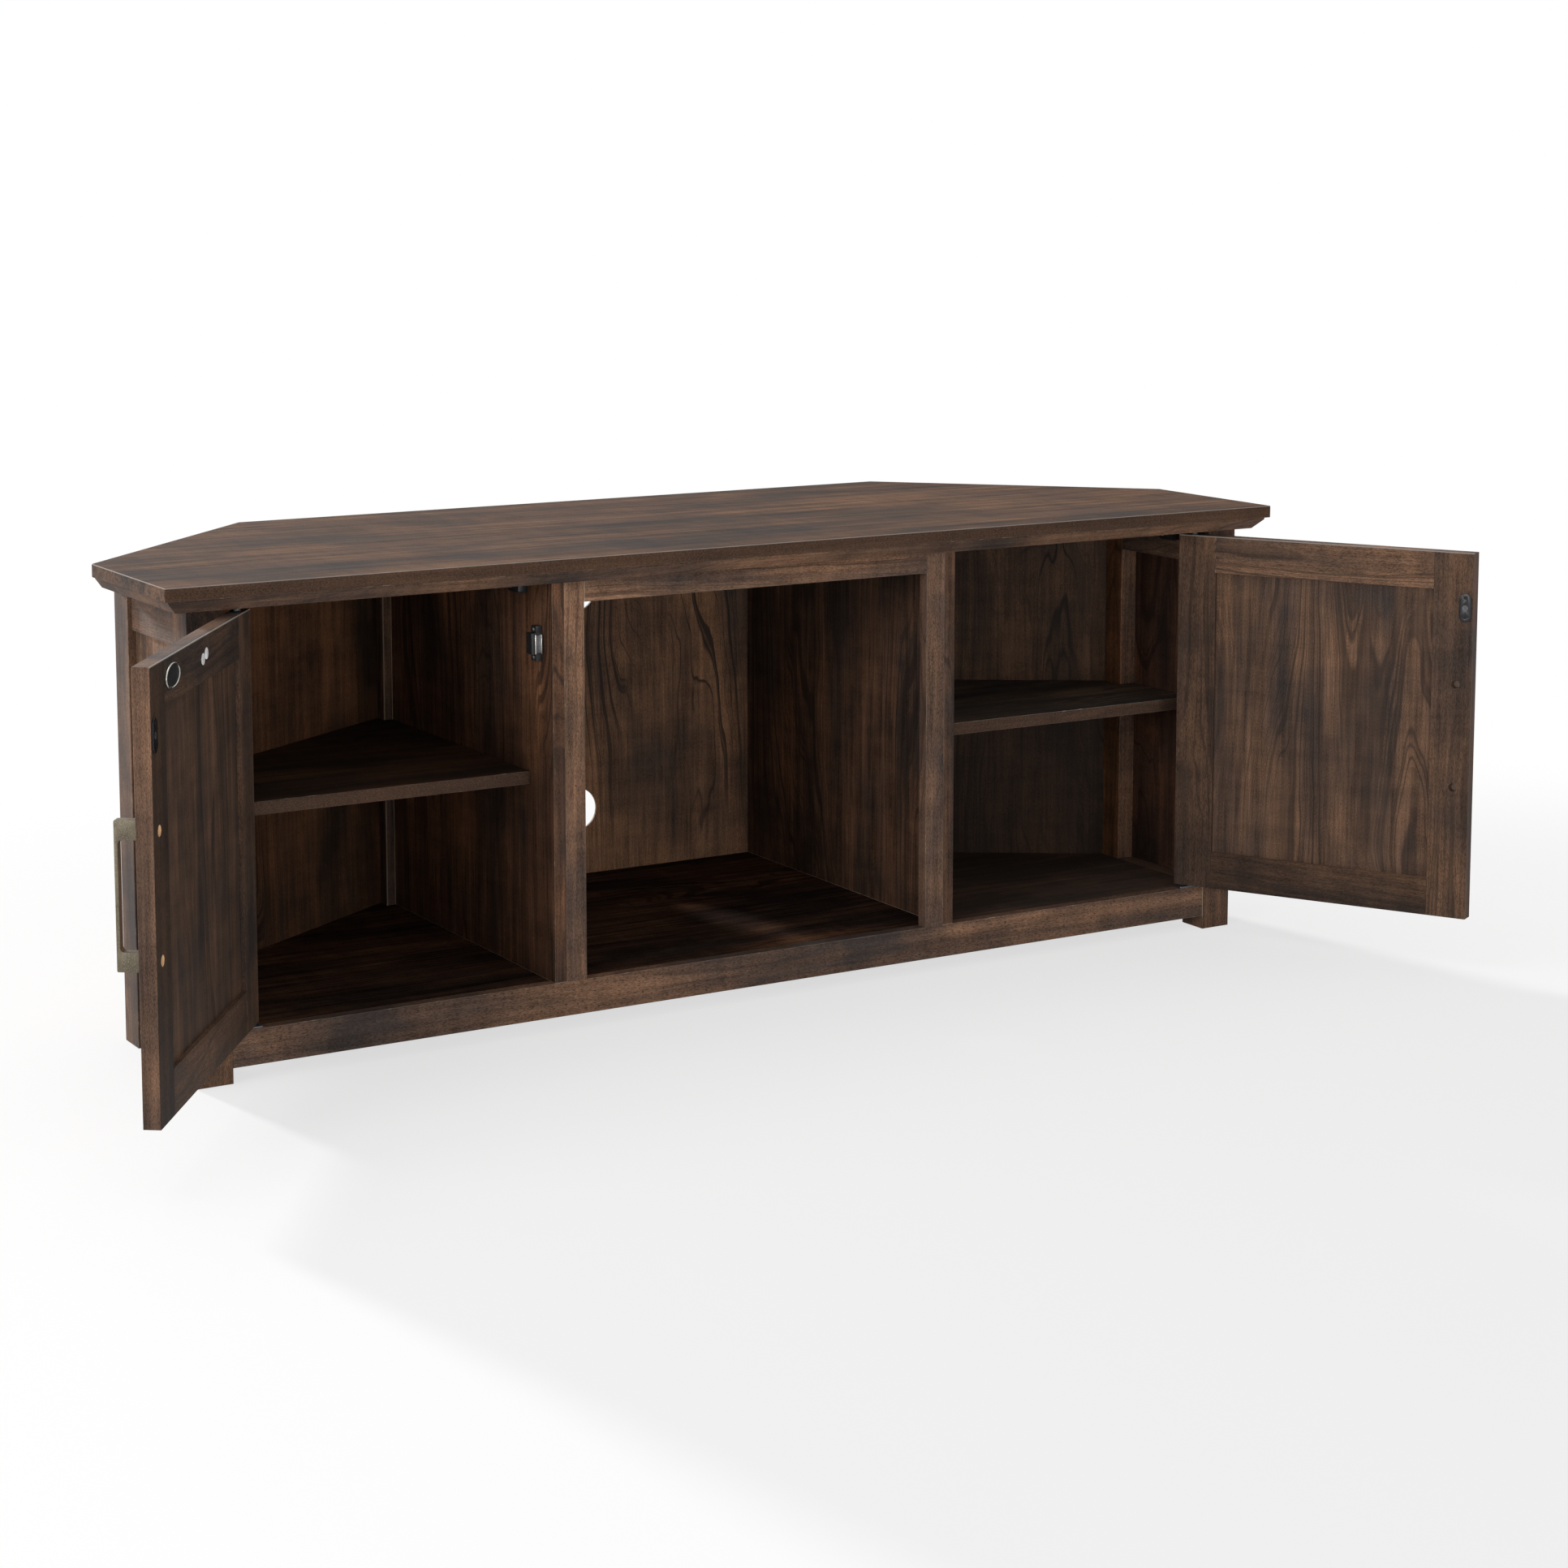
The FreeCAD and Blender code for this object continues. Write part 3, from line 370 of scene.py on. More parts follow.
bareBoard = {"fibre": (160.0, 160.0, 160.0), "stops": (0.35, 0.65),
             "dark": (0.145, 0.092, 0.055, 1.0), "light": (0.235, 0.155, 0.095, 1.0)}
discRim = {"outside": 0.25, "inside": 0.05}  # millimetres about the disc's radius

# How squarely a face has to look along an axis before an effect starts and is full.
facingSpans = {"face": (0.5, 0.7), "edge": (0.7, 0.9), "cut": (0.8, 0.95)}
axisNumber = {"x": 0, "y": 1, "z": 2}

# What a board has where its own row doesn't say otherwise.
plainBoard = {"tint": (1.0, 1.0, 1.0), "wearAndPaintedHighlight": 1.0, "levelOnly": 0.0, "shift": {}, "seams": (),
              "discs": (), "paintedFaceLight": (), "paintedEdgeLight": 1.0, "edgeFaces": "y",
              "edgeAxis": None, "rawBack": False}


def scaledColour(shade, gain):
    if not isinstance(gain, tuple):
        gain = (gain, gain, gain)
    return (shade[0] * gain[0], shade[1] * gain[1], shade[2] * gain[2], 1.0)


# Each of the next six takes a board's colour so far and returns it with one thing added.
def cornerWearAndPaintedHighlight(tree, colour, board, place, normal):
    sockets = {"Normal": normal, "Vector": place, "Level Only": board["levelOnly"]}
    rubbedAndPaintedHighlight = put(tree, "ShaderNodeGroup", sockets, node_tree=arrisWearAndPaintedHighlight).outputs
    # The corners are lightened towards a pale colour, partly rubbed wear and partly painted
    # highlight; chips show the core.
    rubAndPaintedHighlight = times(tree, rubbedAndPaintedHighlight["Mask"], foilSkin["rubAndPaintedHighlight"] * board["wearAndPaintedHighlight"])
    colour = blendColour(tree, rubAndPaintedHighlight, colour, foilColours["paleWearAndPaintedLight"])
    chip = times(tree, rubbedAndPaintedHighlight["Chips"], foilSkin["chip"] * board["wearAndPaintedHighlight"])
    return blendColour(tree, chip, colour, foilColours["core"])


# Painted light and shade: faces that look one way, and a board's edge faces, are made lighter or
# darker by a gain, as the light falls on them.
def paintedFacingLight(tree, colour, board, facing):
    for axis, way, gains in board["paintedFaceLight"]:
        towards = times(tree, facing[axisNumber[axis]], way)
        other = blendColour(tree, 1.0, colour, scaledColour((1.0, 1.0, 1.0), gains), "MULTIPLY")
        colour = blendColour(tree, spread(tree, towards, facingSpans["face"]), colour, other)
    if board["paintedEdgeLight"] != 1.0:
        edge = 0.0
        for axis in board["edgeFaces"]:
            edge = maths(tree, "MAXIMUM", edge, maths(tree, "ABSOLUTE", facing[axisNumber[axis]]))
        edge = spread(tree, edge, facingSpans["edge"])
        lighter = scaledColour(foilSkin["paintedEdgeTint"], board["paintedEdgeLight"])
        lighter = blendColour(tree, 1.0, colour, lighter, "MULTIPLY")
        colour = blendColour(tree, edge, colour, lighter)
    return colour


def fleckedEdges(tree, colour, board, place, facing):
    edge = maths(tree, "ABSOLUTE", facing[axisNumber[board["edgeAxis"]]])
    edge = spread(tree, edge, facingSpans["cut"])
    fleck = noise(tree, place, cutEdge["fleck"], 2.0, 0.6)
    shades = [scaledColour(foilColours["dark"], board["gain"]),
              scaledColour(foilColours["middle"], board["gain"]),
              scaledColour(foilColours["light"], board["gain"] * cutEdge["lightGain"])]
    band = colourStops(tree, fleck, cutEdge["stops"], shades)
    return blendColour(tree, times(tree, edge, cutEdge["show"]), colour, band)


def seamedColour(tree, colour, board, place, axes):
    for seam in board["seams"]:
        mask = None
        for axis, spot, half in seam["at"]:
            sockets = {"Coordinate": axes[axisNumber[axis]], "Place": spot * mm,
                       "Half Width": half * mm, "Vector": place,
                       "Broken": seam.get("broken", 0.0)}
            line = put(tree, "ShaderNodeGroup", sockets, node_tree=seamLine).outputs[0]
            mask = times(tree, mask, line) if mask else line
        mask = times(tree, mask, seam.get("strength", foilSkin["seamShow"]))
        colour = blendColour(tree, mask, colour, foilColours[seam["kind"]])
    return colour


def ringedColour(tree, colour, board, axes):
    for spotX, spotZ, radius, shade in board["discs"]:
        sideways = maths(tree, "SUBTRACT", axes[0], spotX * mm)
        upward = maths(tree, "SUBTRACT", axes[2], spotZ * mm)
        away = maths(tree, "SQRT", maths(tree, "ADD", times(tree, sideways, sideways),
                                         times(tree, upward, upward)))
        mask = spread(tree, away, ((radius + discRim["outside"]) * mm,
                                   (radius - discRim["inside"]) * mm))
        colour = blendColour(tree, mask, colour, foilColours[shade])
    return colour


def bareBehind(tree, colour, place, facing):
    behind = spread(tree, facing[1], facingSpans["face"])
    fibre = noise(tree, place, bareBoard["fibre"], 5.0, 0.7)
    shades = (bareBoard["dark"], bareBoard["light"])
    return blendColour(tree, behind, colour,
                       colourStops(tree, fibre, bareBoard["stops"], shades))


# One foil material for one board. Its grain names the axes across and along the figure.
def foilFinish(nodeName, look, grain, gain, board, seed, door=None):
    board = {**plainBoard, **board, "gain": gain}
    values = {**plainLook, **foilLooks[look], **board["shift"]}
    material, tree, surface = newMaterial("walnut foil " + nodeName.replace("_", " "))
    coordinates = put(tree, "ShaderNodeTexCoord").outputs
    place, normal = coordinates["Object"], coordinates["Normal"]
    if door:
        turn = (0.0, 0.0, math.radians(doorPlaces[door]["turn"]))
        place = put(tree, "ShaderNodeMapping", {0: place, 1: doorPlaces[door]["pivot"], 2: turn},
                    vector_type="TEXTURE").outputs[0]
        normal = put(tree, "ShaderNodeMapping", {0: normal, 2: turn},
                     vector_type="TEXTURE").outputs[0]
    axes = put(tree, "ShaderNodeSeparateXYZ", {0: place}).outputs
    facing = put(tree, "ShaderNodeSeparateXYZ", {0: normal}).outputs
    across, along = (axisNumber[axis] for axis in grain)
    through = 3 - across - along
    ordered = put(tree, "ShaderNodeCombineXYZ",
                  {0: axes[across], 1: axes[through], 2: axes[along]}).outputs[0]
    ordered = put(tree, "ShaderNodeMapping", {0: ordered, 1: seed}).outputs[0]
    sockets = {"Vector": ordered}
    for shade in ("light", "middle", "dark"):
        gains = tuple(gain * part for part in board["tint"])
        sockets[shade.capitalize()] = scaledColour(foilColours[shade], gains)
    for key in ("line", "streak", "knot", "wander", "pore", "tone", "contrast"):
        sockets[key.capitalize()] = values[key]
    figure = put(tree, "ShaderNodeGroup", sockets, node_tree=walnutFigure).outputs
    colour = figure["Color"]
    if board["wearAndPaintedHighlight"]:
        colour = cornerWearAndPaintedHighlight(tree, colour, board, place, normal)
    colour = paintedFacingLight(tree, colour, board, facing)
    if board["edgeAxis"]:
        colour = fleckedEdges(tree, colour, board, place, facing)
    colour = seamedColour(tree, colour, board, place, axes)
    colour = ringedColour(tree, colour, board, axes)
    if board["rawBack"]:
        colour = bareBehind(tree, colour, place, facing)
    tree.links.new(colour, surface.inputs["Base Color"])
    rough = maths(tree, "ADD", figure["Gloss"], values["rough"])
    tree.links.new(rough, surface.inputs["Roughness"])
    surface.inputs["Specular IOR Level"].default_value = values["gloss"]
    bump = put(tree, "ShaderNodeBump", {"Height": figure["Height"], "Strength": foilSkin["bump"],
                                        "Distance": foilSkin["bumpHeight"]})
    tree.links.new(bump.outputs[0], surface.inputs["Normal"])
    return material


def dress(nodeName, material):
    data = nodes[nodeName].data
    data.materials.clear()
    data.materials.append(material)


# A seam is a band about one coordinate, as (axis, middle, half width) in millimetres. Where two
# are given, it lies only where both do.
floorLine = {"at": [("z", 57.5, 0.8)], "kind": "core", "strength": 0.45}


def battenLines(sign):
    return [{"at": [("x", sign * edge, 0.9), ("y", 217.0, 1.5)], "kind": "core",
             "strength": 0.6} for edge in (284.0, 273.0)]


# Every board: its look, the axes across and along its figure, its depth of colour, and the rest.
# The depth of colour and the tint differ between boards of one foil partly as painted light and
# shade: darker and warmer inside the bays, lighter where a board gets more light.
boards = {
    "top_panel": ("top", "yx", 0.70, {
        # Painted light on the top's front edge face.
        "tint": (1.0, 0.96, 0.92), "levelOnly": 1.0, "edgeAxis": "y", "paintedEdgeLight": 1.31,
        "wearAndPaintedHighlight": 0.5,
        # Painted highlights along the top's front and left edges.
        "seams": [{"at": [("z", 549.0, 1.0), ("y", -255.0, 1.0)], "kind": "arris"},
                  {"at": [("z", 549.0, 1.0), ("x", -736.5, 1.0)], "kind": "arris",
                   "strength": 0.4}]}),
    "front_moulding": ("frame", "zx", 1.3, {"wearAndPaintedHighlight": 0.0}),
    "left_moulding": ("frame", "zy", 1.2, {"wearAndPaintedHighlight": 0.0}),
    "right_moulding": ("frame", "zy", 1.2, {"wearAndPaintedHighlight": 0.0}),
    "left_front_leg": ("frame", "xz", 0.85, {"wearAndPaintedHighlight": 0.3}),
    # Painted shade on the front leg's front and back faces.
    "right_front_leg": ("frame", "xz", 1.4, {"paintedEdgeLight": 0.8, "wearAndPaintedHighlight": 0.3}),
    "left_rear_leg": ("frame", "xz", 0.85, {"wearAndPaintedHighlight": 0.3}),
    # Painted light and shade: the rear leg's left face darker, its front face lighter.
    "right_rear_leg": ("frame", "xz", 1.2, {
        "wearAndPaintedHighlight": 0.3, "paintedFaceLight": [("x", -1.0, (0.93, 0.72, 0.53)), ("y", -1.0, 1.75)]}),
    "left_side_top_rail": ("frame", "zy", 1.0, {}),
    "right_side_top_rail": ("frame", "zy", 1.3, {}),
    "left_side_bottom_rail": ("frame", "zy", 1.0, {}),
    "right_side_bottom_rail": ("frame", "zy", 1.3, {}),
    "left_side_panel": ("panel", "yz", 0.95, {}),
    # Painted shade on the side panel's inner face.
    "right_side_panel": ("panel", "yz", 1.0, {"paintedFaceLight": [("x", -1.0, (0.60, 0.48, 0.44))]}),
    "bottom_front_rail": ("rail", "zx", 1.55, {
        "seams": [{"at": [("x", 661.0, 0.5)], "kind": "core"}]}),
    "bottom_panel": ("case", "yx", 0.75, {
        "tint": (1.0, 0.88, 0.82), "shift": {"gloss": 0.0},
        # Painted light: the part of the floor in the right bay is lightened, as if more light fell
        # there.
        "seams": [{"at": [("x", 482.5, 217.5)], "kind": "paleWearAndPaintedLight", "strength": 0.17}]}),
    "left_partition": ("case", "yz", 1.3, {"tint": (1.0, 0.84, 0.72), "seams": [floorLine]}),
    "right_partition": ("case", "yz", 1.1, {"tint": (1.0, 0.90, 0.82), "seams": [floorLine]}),
    "left_centre_stile": ("frame", "xz", 1.6, {}),
    "right_centre_stile": ("frame", "xz", 1.6, {}),
    "centre_top_rail": ("frame", "zx", 1.45, {
        "seams": [{"at": [("x", -232.0, 0.9)], "kind": "core"}]}),
    "left_top_stretcher": ("case", "yx", 1.0, {}),
    "right_top_stretcher": ("case", "yx", 1.0, {}),
    "centre_back_panel": ("back", "xz", 1.5, {"tint": (1.0, 0.95, 0.88), "rawBack": True}),
    "left_back_panel": ("back", "xz", 0.86, {
        "tint": (1.0, 0.82, 0.66), "rawBack": True, "wearAndPaintedHighlight": 0.0}),
    "right_back_panel": ("back", "xz", 0.62, {
        "rawBack": True, "wearAndPaintedHighlight": 0.0, "shift": {"knot": 0.5, "line": 1.0},
        "seed": (3.1, 0.7, 2.2),
        # Painted shadow: the lower part of the back, under the shelf, darkened with the joint-gap
        # colour.
        "seams": [{"at": [("z", 163.0, 123.5)], "kind": "gap", "strength": 0.54}]}),
    "left_batten": ("case", "xz", 1.2, {"seams": battenLines(-1)}),
    "right_batten": ("case", "xz", 1.2, {"seams": battenLines(1)}),
    # Painted shade on the left shelf's top face; painted light on the right shelf's top face.
    "left_shelf": ("case", "yx", 0.7, {
        "tint": (1.0, 0.90, 0.80), "edgeAxis": "y", "paintedFaceLight": [("z", 1.0, 0.82)]}),
    "right_shelf": ("case", "yx", 0.7, {
        "edgeAxis": "y", "paintedFaceLight": [("z", 1.0, (1.4, 1.65, 1.75))]}),
    "centre_foot": ("frame", "xz", 1.0, {}),
}
seedStep = (0.37, 0.11, 0.53)  # a row's place in the list moves its figure, so the order counts
for number, (nodeName, (look, grain, gain, board)) in enumerate(boards.items()):
    seed = board.get("seed", tuple(step * number for step in seedStep))
    dress(nodeName, foilFinish(nodeName, look, grain, gain, board, seed))

# The doors' boards, in each door's own drawing in millimetres: x from the pivot, z the height.
# A row says look, axes, where a stile meets the rails, and how deep the colour of the inner face
# is on the left door and on the right. These inner depths are painted shade on the doors' inner
# faces; the outer depth of colour is partly painted light too.
doorBoards = {
    "hinge_stile": ("frame", "xz", 34.0, 0.66, 0.76),
    "free_stile": ("frame", "xz", 319.0, 0.31, 0.90),
    "top_rail": ("frame", "zx", 0.0, 0.62, 1.06),
    "bottom_rail": ("frame", "zx", 0.0, 0.60, 0.60),
    "panel": ("panel", "xz", 0.0, 0.62, 1.06),
}
doorDrawing = {"top": 514.5, "innerFace": 10.5, "railMiddles": (84.25, 491.25), "railHalf": 23.0,
               "handleScrewX": 349.0, "handleScrewZ": (224.0, 352.0), "outerGain": 1.35}
doorSides = {
    "left": {"sign": 1, "paintedEdgeLight": 0.88, "ringRadius": 5.6, "ringShade": "bare"},
    # The right door's recess walls get the painted light colour.
    "right": {"sign": -1, "paintedEdgeLight": 1.0, "ringRadius": 5.5, "ringShade": "capWallPaintedLight"},
}


def doorSeams(part, joint):
    seams = []
    if part != "panel":
        # A painted highlight along the top edge of each door frame part.
        topEdge = [("z", doorDrawing["top"], 1.3), ("y", doorDrawing["innerFace"], 1.3)]
        seams.append({"at": topEdge, "kind": "arris"})
    if joint:
        for middle in doorDrawing["railMiddles"]:
            joined = [("x", joint, 0.55), ("z", middle, doorDrawing["railHalf"])]
            seams.append({"at": joined, "kind": "gap", "strength": 0.7})
            seams.append({"at": joined, "kind": "core", "broken": 0.8, "strength": 0.85})
    return seams


outerGain = doorDrawing["outerGain"]
for sideNumber, (side, own) in enumerate(doorSides.items()):
    for number, (part, (look, grain, joint, *inner)) in enumerate(doorBoards.items()):
        discs = []
        if part == "free_stile":
            discs = [(own["sign"] * doorDrawing["handleScrewX"], height, own["ringRadius"],
                      own["ringShade"]) for height in doorDrawing["handleScrewZ"]]
        # Painted light and shade: each door's inner face gets its own depth of colour and its edges
        # their own.
        rest = {"wearAndPaintedHighlight": 0.5, "edgeFaces": "xz", "paintedEdgeLight": own["paintedEdgeLight"] / outerGain,
                "paintedFaceLight": [("y", 1.0, inner[sideNumber] / outerGain)], "discs": discs,
                "seams": doorSeams(part, own["sign"] * joint)}
        seed = (2.1 + 0.41 * number + 1.7 * sideNumber, 0.0, 1.3 + 0.77 * number + sideNumber)
        nodeName = side + "_door_" + part
        dress(nodeName, foilFinish(nodeName, look, grain, outerGain, rest, seed, side))
print("boards dressed")

# Metals and plastics: a cloudy base, a few with flecks, a few with a fine bump in metres.
plainLooks = {
    "zinc bright": {"base": (0.62, 0.62, 0.60), "rough": 0.30, "metal": 1.0},
    "pivot steel dull": {"base": (0.11, 0.11, 0.115), "rough": 0.50, "metal": 0.9},
    "pewter antique": {"base": (0.132, 0.112, 0.079), "rough": 0.50, "metal": 0.65,
                       "fleck": (0.23, 0.195, 0.135, 1.0), "fleckShare": 0.09, "bump": 0.0002},
    "ferrite grey": {"base": (0.17, 0.17, 0.175), "rough": 0.45, "metal": 0.6},
    "black moulded plastic": {"base": (0.018, 0.018, 0.019), "rough": 0.48,
                              "bump": 0.00005},
    "black plated steel": {"base": (0.016, 0.016, 0.018), "rough": 0.30, "metal": 0.4},
    "badge face dark": {"base": (0.050, 0.054, 0.060), "rough": 0.35, "metal": 0.6,
                        "grain": 2.0, "fleck": (0.09, 0.09, 0.09, 1.0), "fleckShare": 0.0,
                        "bump": 0.00003},
    "badge rim bright": {"base": (0.52, 0.50, 0.44), "rough": 0.28, "metal": 1.0},
    "bumper pad white": {"base": (0.96, 0.96, 0.95), "rough": 0.5},
    # Brown cover caps, lightened as painted light against the shade of their recesses.
    "cap brown": {"base": (0.19, 0.122, 0.088), "rough": 0.6},
    "bare particle core": {"base": (0.62, 0.44, 0.27), "rough": 0.85,
                           "fleck": (0.25, 0.16, 0.09, 1.0), "fleckShare": 0.04,
                           "bump": 0.0002},
}
mottle = {"low": 0.78, "high": 1.18, "cloud": (0.35, 0.65), "fleck": (0.62, 0.70),
          "roughSwing": 0.06, "bump": 0.35}


def plainFinish(name, look):
    material, tree, surface = newMaterial(name)
    place = put(tree, "ShaderNodeTexCoord").outputs["Object"]
    marks = put(tree, "ShaderNodeGroup", {"Vector": place, "Grain": look.get("grain", 1.0)},
                node_tree=speckle).outputs
    low = scaledColour(look["base"], mottle["low"])
    high = scaledColour(look["base"], mottle["high"])
    colour = blendColour(tree, spread(tree, marks["Cloud"], mottle["cloud"]), low, high)
    if "fleck" in look:
        start, full = (edge - look["fleckShare"] for edge in mottle["fleck"])
        share = spread(tree, marks["Fine"], (start, full))
        colour = blendColour(tree, share, colour, look["fleck"])
    tree.links.new(colour, surface.inputs["Base Color"])
    rough = maths(tree, "ADD", swing(tree, marks["Fine"], mottle["roughSwing"]), look["rough"])
    tree.links.new(rough, surface.inputs["Roughness"])
    surface.inputs["Metallic"].default_value = look.get("metal", 0.0)
    if "bump" in look:
        bump = put(tree, "ShaderNodeBump", {"Height": marks["Fine"], "Strength": mottle["bump"],
                                            "Distance": look["bump"]})
        tree.links.new(bump.outputs[0], surface.inputs["Normal"])
    return material


finishes = {name: plainFinish(name, look) for name, look in plainLooks.items()}

# How a drawn part is cleaned and rounded: distances in metres, angles in degrees.
rounding = {"join": 1e-6, "flat": 1.0, "segments": 2, "sharper": 30.0, "smooth": 32.0}


# Copies a drawn part, joins its loose triangles and rounds its sharp edges.
def softened(nodeName, name, body, finish, width):
    shape = bmesh.new()
    shape.from_mesh(nodes[nodeName].data)
    bmesh.ops.remove_doubles(shape, verts=shape.verts, dist=rounding["join"])
    bmesh.ops.dissolve_limit(shape, angle_limit=math.radians(rounding["flat"]),
                             verts=shape.verts, edges=shape.edges)
    mesh = bpy.data.meshes.new(name)
    shape.to_mesh(mesh)
    shape.free()
    carrier = linked(name + "Raw", mesh)
    bevel = carrier.modifiers.new("round", "BEVEL")
    bevel.width = width
    bevel.segments = rounding["segments"]
    bevel.limit_method = "ANGLE"
    bevel.angle_limit = math.radians(rounding["sharper"])
    bevel.use_clamp_overlap = True
    return settled(carrier, name, body, (nodeName,), finish)


# Turns a finished carrier into a plain mesh piece and hangs it on its body.
def settled(carrier, name, body, replaced, finish):
    graph = bpy.context.evaluated_depsgraph_get()
    mesh = bpy.data.meshes.new_from_object(carrier.evaluated_get(graph))
    mesh.name = name
    raw = carrier.data
    bpy.data.objects.remove(carrier)
    bpy.data.meshes.remove(raw)
    mesh.materials.clear()
    mesh.materials.append(finish)
    mesh.polygons.foreach_set("use_smooth", [True] * len(mesh.polygons))
    mesh.set_sharp_from_angle(angle=math.radians(rounding["smooth"]))
    piece = linked(name, mesh)
    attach(piece, body)
    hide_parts(*replaced)
    return piece


# Gives a second finish to the faces whose middles pass the test.
def repainted(piece, finish, test):
    piece.data.materials.append(finish)
    for face in piece.data.polygons:
        if test(face.center):
            face.material_index = 1


# Each piece with its drawn node, body, material slot, finish and rounding in millimetres. A star
# stands for left in one piece and for right in the next.
hardware = {
    "*DoorHandle": ("*_door_handle", "*_door", "handle_metal", "pewter antique", 0.7),
    "*StrikePlate": ("*_strike_plate", "*_door", "strike_steel", "black plated steel", 0.25),
    "*CatchHousing": ("*_catch", "cabinet", "black_plastic", "black moulded plastic", 0.5),
    "catchMagnets": ("catch_magnets", "cabinet", "catch_steel", "zinc bright", 0.15),
    "cornerBlocks": ("corner_blocks", "cabinet", "black_plastic", "black moulded plastic", 0.6),
    "hingePlates": ("hinge_plates", "cabinet", "pivot_steel", "pivot steel dull", 0.25),
    "*DoorPivots": ("*_door_pivots", "*_door", "pivot_steel", "pivot steel dull", 0.2),
    "leftDoorPads": ("left_door_pads", "left_door", "pad_white", "bumper pad white", 0.25),
    "footGlides": ("foot_glides", "cabinet", "black_plastic", "black moulded plastic", 0.3),
}
magnetSpan = (276.6 * mm, 282.4 * mm)  # the magnet lies here between its two pole plates
for starred, (drawn, carrying, slotName, finish, width) in hardware.items():
    for side in ("left", "right") if "*" in starred else ("",):
        name, nodeName, body = (word.replace("*", side) for word in (starred, drawn, carrying))
        piece = softened(nodeName, name, body, finishes[finish], width * mm)
        if name == "catchMagnets":
            repainted(piece, finishes["ferrite grey"],
                      lambda spot: magnetSpan[0] < abs(spot.x) < magnetSpan[1])
print("hardware softened")


# The loose solids inside one drawn node, each as a list of points.
def looseParts(nodeName):
    shape = bmesh.new()
    shape.from_mesh(nodes[nodeName].data)
    bmesh.ops.remove_doubles(shape, verts=shape.verts, dist=rounding["join"])
    seen = set()
    parts = []
    for start in shape.verts:
        if start in seen:
            continue
        found = [start]
        seen.add(start)
        for vertex in found:
            for edge in vertex.link_edges:
                other = edge.other_vert(vertex)
                if other not in seen:
                    seen.add(other)
                    found.append(other)
        parts.append([vertex.co.copy() for vertex in found])
    shape.free()
    return parts


# How much of a drawn screw counts as its tip and its head, and how often its axis is refined.
screwReading = {"tip": 1.0 * mm, "head": 0.9 * mm, "rounds": 8}


# Where a drawn screw's outermost face is, and which way the screw points.
def screwAxis(points):
    middle = sum(points, Vector()) / len(points)
    farthest = max(points, key=lambda point: (point - middle).length)
    tipEnd = [point for point in points if (point - farthest).length < screwReading["tip"]]
    tip = sum(tipEnd, Vector()) / len(tipEnd)
    head = max(points, key=lambda point: (point - farthest).length)
    for turn in range(screwReading["rounds"]):
        way = (tip - head).normalized()
        lowest = min(way.dot(point) for point in points)
        headEnd = [point for point in points if way.dot(point) < lowest + screwReading["head"]]
        head = sum(headEnd, Vector()) / len(headEnd)
    way = (tip - head).normalized()
    lowest = min(way.dot(point) for point in points)
    return tip + way * (lowest - way.dot(tip)), way


# The screws' shape that doesn't change from kind to kind; crossReach is against the face radius.
screwShape = {"headSides": 20, "shankSides": 12, "pointRadius": 0.3 * mm, "crossReach": 1.35}


screwSizes = ("Face Radius", "Rim Radius", "Neck Radius", "Face Height", "Neck Height",
              "Shank Radius", "Shank Length", "Point Length", "Slot Width", "Slot Depth")
# The kinds in millimetres, in the order of their sizes' names.
screwKinds = {
    "pan": (2.3, 3.5, 3.5, 1.3, 0.9, 1.75, 19.0, 3.0, 0.9, 1.1),
    "flat": (3.8, 3.5, 2.0, 0.3, 1.5, 2.0, 12.2, 2.0, 0.8, 0.25),
    "small flat": (2.9, 2.6, 1.4, 0.3, 1.2, 1.4, 8.5, 2.0, 0.8, 0.25),
}


